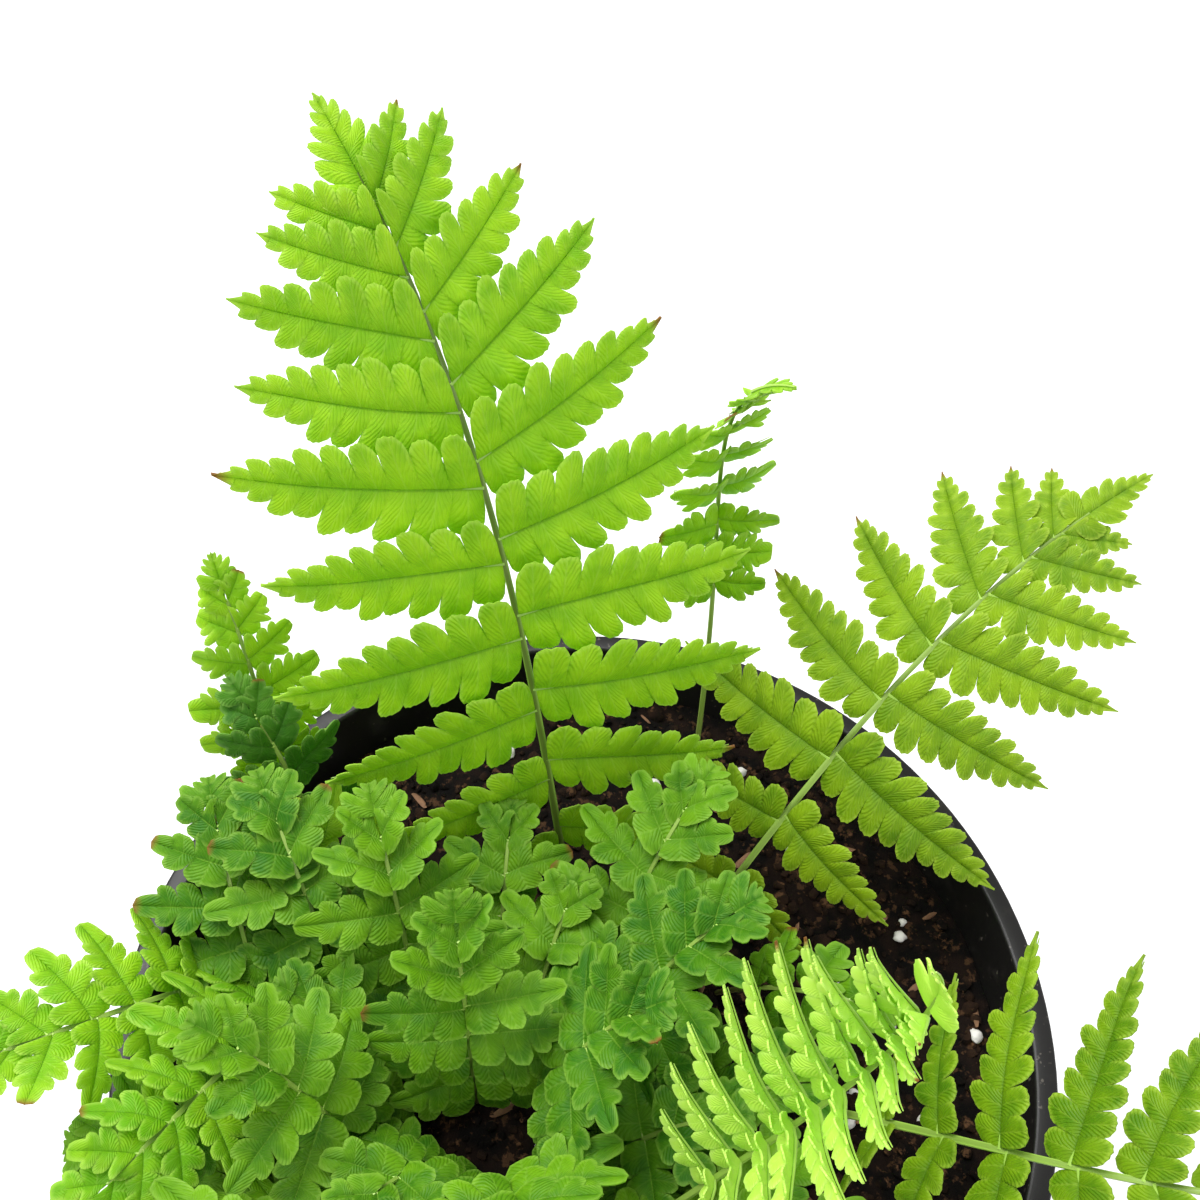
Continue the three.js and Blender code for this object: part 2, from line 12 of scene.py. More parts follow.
import bpy
import numpy as np
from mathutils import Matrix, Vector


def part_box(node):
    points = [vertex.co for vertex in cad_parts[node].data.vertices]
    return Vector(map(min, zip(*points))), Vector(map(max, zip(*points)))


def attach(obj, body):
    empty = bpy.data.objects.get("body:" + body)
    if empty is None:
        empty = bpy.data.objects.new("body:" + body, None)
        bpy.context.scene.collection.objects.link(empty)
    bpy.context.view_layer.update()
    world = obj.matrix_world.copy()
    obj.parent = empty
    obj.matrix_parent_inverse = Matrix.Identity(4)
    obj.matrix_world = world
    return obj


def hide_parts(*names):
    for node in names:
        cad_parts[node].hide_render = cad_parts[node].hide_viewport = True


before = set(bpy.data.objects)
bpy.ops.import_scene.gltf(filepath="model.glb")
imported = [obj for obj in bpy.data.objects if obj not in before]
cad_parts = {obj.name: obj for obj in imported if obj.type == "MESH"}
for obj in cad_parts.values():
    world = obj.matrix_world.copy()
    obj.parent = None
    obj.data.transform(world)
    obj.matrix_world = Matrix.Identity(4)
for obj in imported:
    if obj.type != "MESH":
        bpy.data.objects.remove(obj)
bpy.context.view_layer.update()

MM = 0.001
SOIL_BELOW_RIM = 14
pot_low, pot_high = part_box("pot")
POT_HEIGHT = pot_high.z
POT_RADIUS = (pot_high.x - pot_low.x) / 2
SOIL_LEVEL = POT_HEIGHT - SOIL_BELOW_RIM * MM
print("pot", round(POT_HEIGHT / MM), "mm high and", round(2 * POT_RADIUS / MM), "mm across")

# %% [markdown]
# The camera comes first.
# It could be turned by eye, but the pot's rim is a circle of known size, so its ellipse in the picture
# fixes where the camera stood: about 24 cm from the leaves, looking down steeply.

# %% The camera
CAMERA_PLACE = (0, -87.4 * MM, 388.4 * MM)
CAMERA_TURN = (38.79, -1.40, 2.13)
CAMERA_LENS = 38.6

bpy.ops.object.camera_add(location=CAMERA_PLACE, rotation=[math.radians(a) for a in CAMERA_TURN])
camera = bpy.context.object
camera.data.lens = CAMERA_LENS
camera.data.sensor_width = 36
camera.data.clip_start = 0.01
bpy.context.scene.camera = camera
print("camera", [round(value, 3) for value in camera.location])

# %% [markdown]
# Small helpers. Operators act on whatever is selected, so each step starts with nothing selected.
# `new_copy` gives every copy its own mesh, and `finish_piece` puts a piece on its body and hides any of the
# frame's solids that it stands for.


# %% Helpers for pieces
def deselect():
    if bpy.context.object and bpy.context.object.mode != "OBJECT":
        bpy.ops.object.mode_set(mode="OBJECT")
    bpy.ops.object.select_all(action="DESELECT")


def choose(objects):
    deselect()
    for item in objects:
        item.select_set(True)
    bpy.context.view_layer.objects.active = objects[0]


def join(objects, name):
    choose(objects)
    if len(objects) > 1:
        bpy.ops.object.join()
    joined = bpy.context.object
    joined.name = name
    joined.data.name = name
    return joined


def apply_modifier(piece, kind, **settings):
    choose([piece])
    modifier = piece.modifiers.new(kind.lower(), kind)
    for key, value in settings.items():
        setattr(modifier, key, value)
    bpy.ops.object.modifier_apply(modifier=modifier.name)


def one_material(piece, material):
    piece.data.materials.clear()
    piece.data.materials.append(material)


def smooth(piece, angle):
    choose([piece])
    bpy.ops.object.shade_smooth_by_angle(angle=math.radians(angle))


def put_away(item):
    for collection in item.users_collection:
        collection.objects.unlink(item)


def new_copy(master):
    copy = master.copy()
    copy.data = master.data.copy()
    bpy.context.scene.collection.objects.link(copy)
    return copy


def points_of(mesh):
    places = np.empty(len(mesh.vertices) * 3)
    mesh.vertices.foreach_get("co", places)
    return places.reshape(-1, 3)


def move_points(mesh, places):
    mesh.vertices.foreach_set("co", np.asarray(places, np.float32).ravel())
    mesh.update()


def write_values(mesh, name, values):
    layer = mesh.attributes.get(name) or mesh.attributes.new(name, "FLOAT", "POINT")
    layer.data.foreach_set("value", np.asarray(values, np.float32))


def finish_piece(piece, replaced=()):
    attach(piece, "root")
    if replaced:
        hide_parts(*replaced)
    return piece


# %% [markdown]
# Shader helpers. An effect that more than one material uses is a node group with named sockets,
# and each group puts out only a colour, a mask or a height.


# %% Helpers for shader nodes
def new_group(name, inputs, outputs):
    group = bpy.data.node_groups.new(name, "ShaderNodeTree")
    for way, sockets in (("INPUT", inputs), ("OUTPUT", outputs)):
        for label, kind in sockets.items():
            group.interface.new_socket(name=label, in_out=way, socket_type="NodeSocket" + kind)
    start = group.nodes.new("NodeGroupInput")
    end = group.nodes.new("NodeGroupOutput")
    return group, start.outputs, end.inputs


def fill(tree, node, values):
    for label, value in values.items():
        if isinstance(value, bpy.types.NodeSocket):
            tree.links.new(value, node.inputs[label])
        else:
            node.inputs[label].default_value = value
    return node.outputs


def use_group(tree, group, **values):
    node = tree.nodes.new("ShaderNodeGroup")
    node.node_tree = group
    return fill(tree, node, values)


def math_node(tree, operation, first, second=0.0, third=0.0, clamp=False):
    node = tree.nodes.new("ShaderNodeMath")
    node.operation = operation
    node.use_clamp = clamp
    return fill(tree, node, {0: first, 1: second, 2: third})[0]


def blend_range(tree, value, low, high, result_low=0.0, result_high=1.0):
    node = tree.nodes.new("ShaderNodeMapRange")
    node.interpolation_type = "SMOOTHSTEP"
    ends = {"From Min": low, "From Max": high, "To Min": result_low, "To Max": result_high}
    return fill(tree, node, {"Value": value} | ends)["Result"]


def mix_colours(tree, share, first, second):
    node = tree.nodes.new("ShaderNodeMix")
    node.data_type = "RGBA"
    return fill(tree, node, {0: share, 6: first, 7: second})[2]


def noise(tree, place, scale, detail, roughness=0.5):
    node = tree.nodes.new("ShaderNodeTexNoise")
    values = {"Vector": place, "Scale": scale, "Detail": detail, "Roughness": roughness}
    return fill(tree, node, values)["Fac"]


def bump(tree, height, strength, distance):
    node = tree.nodes.new("ShaderNodeBump")
    return fill(tree, node, {"Height": height, "Strength": strength, "Distance": distance})["Normal"]


def object_place(tree):
    return tree.nodes.new("ShaderNodeTexCoord").outputs["Object"]


def attribute(tree, name):
    node = tree.nodes.new("ShaderNodeAttribute")
    node.attribute_name = name
    return node.outputs["Fac"]


def new_material(name):
    material = bpy.data.materials.new(name)
    material.use_nodes = True
    return material, material.node_tree, material.node_tree.nodes["Principled BSDF"]


def set_surface(tree, shader, colour, roughness, normal, sheen=0.5):
    fill(tree, shader, {"Base Color": colour, "Roughness": roughness, "Normal": normal})
    shader.inputs["Specular IOR Level"].default_value = sheen


# %% [markdown]
# Leaf veins. Each lobe has one middle vein, and side veins that leave it at a slant and reach the edge.
# They could be modelled, but they are finer than a hair, so they are a pattern that follows the lobe.
# The leaf's own map holds the place along the row of lobes and the share of the way out to the edge.

# %% The vein pattern as a group
SIDE_VEINS = 5.0
VEIN_SLANT = 8.0
VEIN_WAVER = 1.3
VEIN_WIDTH = 0.1


def from_nearest(tree, phase):
    return math_node(tree, "ABSOLUTE", math_node(tree, "SUBTRACT", math_node(tree, "FRACT", phase), 0.5))


def vein_group():
    inputs = dict.fromkeys(("Along", "Out", "Waver"), "Float")
    group, given, put = new_group("leaf_veins", inputs, {"Veins": "Float", "Height": "Float"})
    across = from_nearest(group, given["Along"])
    middle = blend_range(group, across, 0.01, 0.05, 1.0, 0.0)
    rise = math_node(group, "MULTIPLY", given["Out"], SIDE_VEINS)
    fall = math_node(group, "MULTIPLY", across, VEIN_SLANT)
    drift = math_node(group, "MULTIPLY", given["Waver"], VEIN_WAVER)
    phase = math_node(group, "ADD", math_node(group, "SUBTRACT", rise, fall), drift)
    off = from_nearest(group, phase)
    side = blend_range(group, off, 0.02, VEIN_WIDTH, 0.8, 0.0)
    off_fork = from_nearest(group, math_node(group, "ADD", phase, 0.5))
    fork = blend_range(group, off_fork, 0.02, 0.09, 0.6, 0.0)
    outer = blend_range(group, across, 0.2, 0.3)
    side = math_node(group, "MAXIMUM", side, math_node(group, "MULTIPLY", fork, outer))
    group.links.new(math_node(group, "MAXIMUM", middle, side), put["Veins"])
    pillow = blend_range(group, off, 0.0, 0.5)
    sunk = math_node(group, "MULTIPLY", middle, 0.5)
    group.links.new(math_node(group, "SUBTRACT", pillow, sunk), put["Height"])
    return group


VEINS = vein_group()


# %% [markdown]
# Leaf colour. A living leaf isn't one green: it has pale veins, darker cloudy patches, a slight difference
# from leaflet to leaflet and a brown tip where it has dried. Painted light is mixed in too: a painted
# highlight makes a thin paler edge, painted shade deepens the green towards the midrib, and the midrib groove
# gets painted shade of its own colour, which on the tuft is a paler midrib instead.
# One group mixes them all, and each kind of leaf gives it its own greens.


# %% The leaf colour as a group
def leaf_colour_group():
    colours = dict.fromkeys(("Fresh", "Deep", "Edge", "Groove", "Dry"), "Color")
    masks = dict.fromkeys(("Veins", "Margin", "Tone", "Scorch", "Out", "Cloud"), "Float")
    group, given, put = new_group("leaf_colour", colours | masks, {"Color": "Color"})
    cloud = blend_range(group, given["Cloud"], 0.35, 0.7)
    share = math_node(group, "MULTIPLY_ADD", cloud, 0.62, given["Tone"], clamp=True)
    green = mix_colours(group, share, given["Fresh"], given["Deep"])
    # Painted shade: the green turns deeper towards the midrib.
    inner = blend_range(group, given["Out"], 0.0, 0.45, 0.35, 0.0)
    green = mix_colours(group, inner, green, given["Deep"])
    green = mix_colours(group, math_node(group, "MULTIPLY", given["Veins"], 0.17), green, given["Edge"])
    # Painted highlight: a thin paler band along the leaf's edge, in the same colour as the pale veins.
    edge_highlight = blend_range(group, given["Margin"], 0.1, 0.8, 0.38, 0.0)
    green = mix_colours(group, edge_highlight, green, given["Edge"])
    # Painted shade in the midrib groove; on the tuft this colour is paler than its green, a pale midrib.
    groove = blend_range(group, given["Out"], 0.015, 0.05, 0.6, 0.0)
    green = mix_colours(group, groove, green, given["Groove"])
    group.links.new(mix_colours(group, given["Scorch"], green, given["Dry"]), put["Color"])
    return group


LEAF_COLOUR = leaf_colour_group()


# %% [markdown]
# The leaf material. A fern leaf is thin and lets light through, so a plain surface would look like paint.
# The satin surface is mixed with a translucent one, which lights up where the lamp is behind the leaf.


# %% Leaf materials
LEAF_ROUGHNESS = 0.48
LEAF_SHEEN = 0.24
LIGHT_THROUGH = 0.38
WRINKLE_HEIGHT = 0.28 * MM
DRY_BROWN = (0.30, 0.12, 0.03, 1)


def leaf_material(name, fresh, deep, edge, glow, groove):
    material, tree, shader = new_material(name)
    place = object_place(tree)
    split = tree.nodes.new("ShaderNodeSeparateXYZ")
    uv = tree.nodes.new("ShaderNodeUVMap")
    uv.uv_map = "UVMap"
    tree.links.new(uv.outputs["UV"], split.inputs[0])
    along, out = split.outputs[0], split.outputs[1]
    veins = use_group(tree, VEINS, Along=along, Out=out, Waver=noise(tree, place, 350.0, 2.0))
    colour = use_group(
        tree, LEAF_COLOUR, Fresh=fresh, Deep=deep, Edge=edge, Groove=groove, Dry=DRY_BROWN,
        Veins=veins["Veins"], Margin=attribute(tree, "margin"), Tone=attribute(tree, "tone"),
        Scorch=attribute(tree, "scorch"), Out=out, Cloud=noise(tree, place, 170.0, 6.0, 0.62),
    )["Color"]
    wrinkles = math_node(tree, "MULTIPLY", noise(tree, place, 700.0, 4.0), 1.6)
    normal = bump(tree, math_node(tree, "ADD", veins["Height"], wrinkles), 0.4, WRINKLE_HEIGHT)
    set_surface(tree, shader, colour, LEAF_ROUGHNESS, normal, LEAF_SHEEN)
    through = tree.nodes.new("ShaderNodeBsdfTranslucent")
    tree.links.new(mix_colours(tree, 0.5, colour, glow), through.inputs["Color"])
    blend = tree.nodes.new("ShaderNodeMixShader")
    blend.inputs["Fac"].default_value = LIGHT_THROUGH
    tree.links.new(shader.outputs[0], blend.inputs[1])
    tree.links.new(through.outputs[0], blend.inputs[2])
    tree.links.new(blend.outputs[0], tree.nodes["Material Output"].inputs["Surface"])
    return material


# %% [markdown]
# Stems. A young stem is pale green and streaked, and its foot turns brown with age. The groove along its
# upper side gets painted shade. The foot is found by the height over the soil, so no picture has to be
# painted.

# %% The stem's finish
OLD_STEM = 26
STEM_GROOVE_SHADE = (0.085, 0.13, 0.015, 1)


def stem_material():
    material, tree, shader = new_material("stem_green")
    split = tree.nodes.new("ShaderNodeSeparateXYZ")
    place = object_place(tree)
    tree.links.new(place, split.inputs[0])
    height = blend_range(tree, split.outputs[2], SOIL_LEVEL, SOIL_LEVEL + OLD_STEM * MM)
    streak = noise(tree, place, 220.0, 4.0)
    green = mix_colours(tree, streak, (0.17, 0.34, 0.03, 1), (0.32, 0.52, 0.09, 1))
    old = mix_colours(tree, streak, (0.10, 0.12, 0.03, 1), (0.22, 0.16, 0.06, 1))
    green = mix_colours(tree, attribute(tree, "pale"), green, (0.36, 0.55, 0.09, 1))
    aged = mix_colours(tree, height, old, green)
    # Painted shade: the groove along the stem's upper side is darker.
    with_groove_shade = mix_colours(tree, attribute(tree, "groove"), aged, STEM_GROOVE_SHADE)
    set_surface(tree, shader, with_groove_shade, 0.45, bump(tree, streak, 0.3, 0.0002))
    return material


STEM = stem_material()

# %% [markdown]
# The greens of this plant, as fresh, deep, edge, glow and groove colours. The edge colour paints the pale
# veins and a painted highlight along the edge, and the groove colour is painted shade in the midrib groove,
# except on the tuft, where it is a paler midrib.
# The tall frond is fresh green, the leaning ones are olive, the tuft's greens are darkened as painted shade,
# and the youngest fronds are a bright yellow green.

# %% The leaf finishes
LEAF_FINISHES = {
    "fresh": leaf_material(
        "leaf_fresh", (0.42, 0.70, 0.018, 1), (0.16, 0.44, 0.008, 1), (0.62, 0.85, 0.16, 1),
        (0.62, 0.95, 0.02, 1), (0.12, 0.33, 0.008, 1),
    ),
    "olive": leaf_material(
        "leaf_olive", (0.31, 0.49, 0.010, 1), (0.09, 0.23, 0.005, 1), (0.56, 0.74, 0.09, 1),
        (0.50, 0.75, 0.01, 1), (0.12, 0.26, 0.008, 1),
    ),
    "deep": leaf_material(
        "leaf_deep", (0.13, 0.36, 0.02, 1), (0.05, 0.20, 0.012, 1), (0.34, 0.60, 0.12, 1),
        (0.25, 0.60, 0.02, 1), (0.08, 0.22, 0.02, 1),
    ),
    # The tuft's greens are darkened as painted shade, for leaves that lie under others.
    "tuft": leaf_material(
        "leaf_tuft_painted_shade", (0.205, 0.455, 0.008, 1), (0.04, 0.19, 0.006, 1), (0.38, 0.64, 0.09, 1),
        (0.33, 0.68, 0.01, 1), (0.26, 0.50, 0.05, 1),
    ),
    "bright": leaf_material(
        "leaf_bright", (0.68, 0.95, 0.14, 1), (0.52, 0.86, 0.08, 1), (0.74, 0.95, 0.30, 1),
        (0.80, 1.0, 0.20, 1), (0.52, 0.82, 0.10, 1),
    ),
}
print("leaf finishes", sorted(LEAF_FINISHES))

# %% [markdown]
# The outline of a leaflet. It could be drawn point by point, but its lobes all follow one rule, so a formula
# gives them: the edge swells and narrows once for each lobe, and the lobes shrink towards the leaflet's tip.
# Every lobe is crossed by a few lines, closest where the edge bends most. Small fronds have fewer of them.

# %% The leaflet's outline
LOBE_STATIONS = (-1.0, -0.94, -0.8, -0.58, -0.34, -0.1, 0.14, 0.38, 0.6, 0.8, 0.94)
SMALL_STATIONS = (-1.0, -0.9, -0.55, -0.1, 0.35, 0.72, 0.92)
LOBE_SQUARE = 2.2
LOBE_LOW = 0.22
LOBE_SHRINK = 1.2
LOBES_END = 0.92
TOOTH = 0.07
BASE_WIDTH = 0.95
WIDEST_FROM = 0.3
TIP_COLUMNS = 5


def outline_width(s, taper):
    swell = np.minimum(1, BASE_WIDTH + (1 - BASE_WIDTH) * s / WIDEST_FROM)
    return swell * (1 - np.clip(s, 0, 1) ** taper) ** 0.95


def lobe_swell(i, a):
    round_end = (1 - abs(a) ** LOBE_SQUARE) ** (1 / LOBE_SQUARE)
    return LOBE_LOW + (1 - LOBE_LOW) * round_end * (1 - TOOTH * (i % 2)) if a > -1 else 0


def lobe_columns(lobes, cut, blunt, taper, stations):
    columns = []
    lobes_end = LOBES_END - 0.2 * blunt
    ends = [lobes_end * (1 - (1 - k / lobes) ** LOBE_SHRINK) for k in range(lobes + 1)]
    for k in range(lobes):
        middle, half = (ends[k] + ends[k + 1]) / 2, (ends[k + 1] - ends[k]) / 2
        reach = outline_width(middle, taper)
        inner = reach * (1 - cut * (1 - 0.45 * (k / lobes) ** 2))
        for i, a in enumerate(stations):
            width = inner + (reach - inner) * lobe_swell(i, a)
            columns.append((middle + a * half, width, k + (a + 1) / 2, a))
    end_reach = outline_width(lobes_end, taper) * (1 - cut + 0.35 * blunt) + 0.03
    for i in range(TIP_COLUMNS + 1):
        share = i / TIP_COLUMNS
        width = end_reach * (1 - share ** (1 + blunt)) ** (1.1 - 0.6 * blunt) + 0.005
        columns.append((lobes_end + (1 - lobes_end) * share, width, lobes + 0.5 * share, 0))
    return np.array(columns)


# %% [markdown]
# One leaflet, almost flat. It starts as a grid. Each column of the grid takes its width from the outline, and
# the surface gets a groove over the midrib, a low cushion in every lobe and an edge that turns down.
# A leaflet is modelled once for each number of lobes, and every leaflet of the plant is a bent copy of one.
# The sines of a lobe's number stand in for chance: they make each lobe a little wider or more tilted.

# %% The surface of a leaflet
OUT_LEVELS = (0.0, 0.06, 0.3, 0.6, 0.88, 1.0)
SMALL_LEVELS = (0.0, 0.07, 0.35, 0.7, 1.0)
UNEVEN = 0.09
CUSHION = 0.045
LOBE_TILT = 0.07
MIDRIB_GROOVE = 0.02
SOFT_GROOVE = 0.03
EDGE_DROP = 0.08


def leaflet_surface(columns, places, levels, slant, ratio):
    column = np.rint((places[:, 0] + 0.5) * (len(columns) - 1)).astype(int)
    level = np.rint((places[:, 1] + 0.5) * (len(levels) - 1)).astype(int)
    u, reach, along, a = columns[column].T
    out = levels[level]
    side_out = np.abs(out)
    v = out * reach * (1 + UNEVEN * side_out * np.sin(3.7 * np.floor(along) + 1.3 * np.sign(out)))
    u = u + slant * ratio * np.abs(v) * np.minimum(1, 0.2 + 2.5 * u)
    cushion = CUSHION * (1 - a ** 2) * np.sin(np.pi * side_out) * reach
    lobe_tilt = LOBE_TILT * np.sin(2.4 * np.floor(along) + 1.7 * np.sign(out)) * side_out * reach
    groove = MIDRIB_GROOVE * np.minimum(1, side_out / 0.06) + SOFT_GROOVE * np.minimum(1, side_out / 0.4)
    w = cushion + lobe_tilt + groove - EDGE_DROP * side_out ** 3 * reach
    return np.stack([u, v, w], 1), along, side_out


def distance_to_edge(surface, side_out, ratio):
    flat = np.stack([surface[:, 0], surface[:, 1] * ratio], 1)
    edge = flat[side_out > 0.999]
    return np.sqrt(((flat[:, None] - edge[None]) ** 2).sum(2)).min(1)


def write_pattern(mesh, along, side_out):
    corners = np.empty(len(mesh.loops), int)
    mesh.loops.foreach_get("vertex_index", corners)
    pattern = np.stack([along[corners], side_out[corners]], 1)
    mesh.uv_layers["UVMap"].data.foreach_set("uv", pattern.astype(np.float32).ravel())


# %% [markdown]
# The flat leaflet is kept out of the scene and found again by its numbers, so the same one is never built
# twice. The tip of a frond isn't divided into leaflets, so it is one such leaflet too, with deeper cuts.

# %% The leaflet that others are copied from
SLANT = 0.4
LEAFLET_TAPER = 1.9
TIP_SLANT = 0.8
TIP_CUT = 0.6
TIP_TAPER = 1.1
masters = {}


def leaflet_master(lobes, cut, slant, ratio, blunt, taper, small):
    key = (lobes, round(cut, 2), slant, round(ratio, 2), blunt, taper, small)
    if key in masters:
        return masters[key]
    stations, outward = (SMALL_STATIONS, SMALL_LEVELS) if small else (LOBE_STATIONS, OUT_LEVELS)
    columns = lobe_columns(lobes, cut, blunt, taper, stations)
    levels = np.array([-level for level in outward[:0:-1]] + list(outward))
    deselect()
    bpy.ops.mesh.primitive_grid_add(
        x_subdivisions=len(columns) - 1, y_subdivisions=len(levels) - 1, size=1
    )
    master = bpy.context.object
    surface, along, side_out = leaflet_surface(columns, points_of(master.data), levels, slant, ratio)
    move_points(master.data, surface)
    write_values(master.data, "margin", distance_to_edge(surface, side_out, ratio))
    write_pattern(master.data, along, side_out)
    put_away(master)
    masters[key] = master
    return master


# %% [markdown]
# A frond's line. It leaves the soil at a lean, arches over, swings sideways and may curl at its tip.
# The frame's solids follow the same rule, so the dressed frond lies exactly in its solid's place.

# %% The line that a frond follows
LINE_STEPS = 60
STEM_TIP = 0.45


def frond_line(frond):
    def direction(t):
        lean = np.radians(frond["lean"] + frond["arch"] * t ** 2 + frond.get("hook", 0) * t ** 6)
        heading = np.radians(frond["heading"] + frond.get("sweep", 0) * t ** 2)
        across = np.sin(lean)
        along = np.stack([np.cos(heading) * across, np.sin(heading) * across, np.cos(lean)], -1)
        level = np.stack([-np.sin(heading), np.cos(heading), 0 * heading], -1)
        roll = math.radians(frond.get("roll", 0))
        side = level * math.cos(roll) + np.cross(along, level) * math.sin(roll)
        return along, side, np.cross(along, side)

    ends = np.arange(LINE_STEPS + 1) / LINE_STEPS
    steps = direction((np.arange(LINE_STEPS) + 0.5) / LINE_STEPS)[0] * frond["length"] / LINE_STEPS
    root = np.array([frond["root"][0], frond["root"][1], SOIL_LEVEL / MM])
    points = root + np.concatenate([np.zeros((1, 3)), np.cumsum(steps, 0)])
    tables = (points, *direction(ends))

    def at(t):
        t = np.clip(np.asarray(t, float), 0, 1)
        found = [np.stack([np.interp(t, ends, table[:, k]) for k in range(3)], -1) for table in tables]
        return [found[0]] + [axis / np.linalg.norm(axis, axis=-1, keepdims=True) for axis in found[1:]]

    return at


def stem_radius(frond, t):
    return frond["stem"] + (STEM_TIP - frond["stem"]) * t


# %% [markdown]
# Where leaflets stand. Pairs sit close together near the tip and further apart low down.
# They are short at the foot of the blade, longest near its lower third, and shrink to the tip.
# Lower leaflets point a little backwards, and upper ones forwards.

# %% The place and length of each leaflet
FIRST_LENGTH = 0.55
LONGEST_FROM = 0.22
LONGEST_TO = 0.45
TIP_GAP = 0.03
CROWDING = 1.3

# Leaflets of the small fronds: half-width in millimetres, spacing in half-widths, and the share of their
# length that they lose at the tip, at the foot of the blade and below it.
FINE_WIDTH = 6.4
FINE_STEP = 1.3
SMALL_LAST = 0.9
SMALL_FALL = 0.88
FOOT_FALL = 0.15
LOW_FALL = 0.2


def share_of(frond, t):
    return (t - frond["bare"]) / (frond["last"] - frond["bare"])


def leaflet_length(frond, t):
    if frond["small"]:
        share = np.clip((t - frond["bare"]) / (1 - frond["bare"]), 0, 1)
        low = 1 - LOW_FALL * max(0, frond["bare"] - t) / frond["early"]
        foot = 1 - FOOT_FALL + FOOT_FALL * min(1, share / 0.15)
        return frond["longest"] * (1 - SMALL_FALL * share ** 1.4) * foot * low
    low = min(1, FIRST_LENGTH + (1 - FIRST_LENGTH) * (t - frond["bare"]) / LONGEST_FROM)
    end = min(1, max(0, (t - LONGEST_TO) / (frond.get("fade", 1) - LONGEST_TO)))
    return frond["longest"] * low * (1 - end ** 2.2) ** 1.1


def small_half_width(frond, t):
    return FINE_WIDTH * (0.3 + 0.7 * leaflet_length(frond, t) / frond["longest"])


def leaflet_places(frond):
    if not frond["small"]:
        shares = [1 - (1 - k / (frond["pairs"] - 1)) ** CROWDING for k in range(frond["pairs"])]
        return [frond["bare"] + (frond["last"] - frond["bare"]) * share for share in shares]
    places = []
    t = frond["bare"] - frond["early"]
    while t < SMALL_LAST:
        places.append(t)
        t += FINE_STEP * small_half_width(frond, t) / frond["length"]
    return places


# %% [markdown]
# Setting a leaflet on its stem. The flat copy is bent by a formula: it is raised off the frond's face,
# tilted like a louvre so that it overlaps the next one, and droops and curves towards its tip.
# On an upright stem the leaflets of the low fronds also turn their faces up to the light, as real ones do.


# %% The angles and bends of one leaflet
MOST_FORWARD = 52
SIDE_CURVE = 0.05
EDGE_WAVE = 0.3


def leaflet_draws(frond, t, rng):
    loose = frond.get("loose", 1)
    start, end = frond["forward"]
    share = share_of(frond, t) ** 1.3 if share_of(frond, t) > 0 else 0
    return dict(
        length=leaflet_length(frond, t) * rng.uniform(0.94, 1.06),
        forward=math.radians(min(start + (end - start) * share + rng.uniform(-3, 3), MOST_FORWARD)),
        lift=math.radians(frond.get("lift", 6) + rng.uniform(-4, 4) * loose),
        tilt=math.radians(frond.get("tilt", 12) + rng.uniform(-4, 4) * loose),
        droop=frond.get("droop", 0.12) + rng.uniform(-0.04, 0.04) * loose,
        twist=rng.uniform(-0.25, 0.25) * loose,
        ripple=rng.uniform(-0.02, 0.02) * loose,
        phase=rng.uniform(0, 6),
        fold=frond.get("fold", 0.08),
    )


def turned(first, second, angle):
    return first * math.cos(angle) + second * math.sin(angle)


def leaflet_axes(frond, along, outward, face, drawn):
    ahead = turned(along, -outward, drawn["forward"])
    axis = turned(outward, along, drawn["forward"])
    up = turned(face, -axis, drawn["lift"])
    tilt = drawn["tilt"]
    if "light_turn" in frond:
        level_turn = math.degrees(math.atan2(-ahead[2], up[2]))
        tilt += math.radians(max(-frond["light_turn"], min(frond["light_turn"], level_turn)))
    return turned(axis, face, drawn["lift"]), turned(ahead, up, tilt), turned(up, -ahead, tilt)


def bend(point, axes, half_width, drawn, u, v, w):
    lifted, across, normal = axes
    length = drawn["length"]
    s = u / length
    sideways = v + SIDE_CURVE * length * s ** 2
    wave = EDGE_WAVE * (np.abs(v) / half_width) * np.sin(1.3 * u + drawn["phase"])
    down = w + drawn["fold"] * np.abs(v) - drawn["droop"] * length * s ** 2
    down = down + drawn["ripple"] * length * np.sin(s * 5) + drawn["twist"] * v * s + wave
    return point + np.outer(u, lifted) + np.outer(sideways, across) + np.outer(down, normal)


# %% [markdown]
# Every leaflet remembers how far each point is from its edge, how light or dark it is, and whether its tip
# has dried. The materials read these values, so that no two leaflets look the same.

# %% Bending a copy of a leaflet into its place
DRY_FROM = 0.93
DRY_BLEND = 0.05
NEVER_DRY = 2
RIB_STEPS = 8
RIB_RADIUS = 0.3
RIB_TIP = 0.1
RIB_SUNK = 0.55
LONGEST_LEAFLET = 42


def finish_values(mesh, s, length, frond, rng):
    margin = np.empty(len(mesh.vertices))
    mesh.attributes["margin"].data.foreach_get("value", margin)
    write_values(mesh, "margin", margin * length)
    write_values(mesh, "tone", np.full(len(s), frond["tone"] + rng.uniform(-0.15, 0.15)))
    start = DRY_FROM if rng.random() < frond.get("dry", 0.1) else NEVER_DRY
    write_values(mesh, "scorch", np.clip((s - start) / DRY_BLEND, 0, 1))


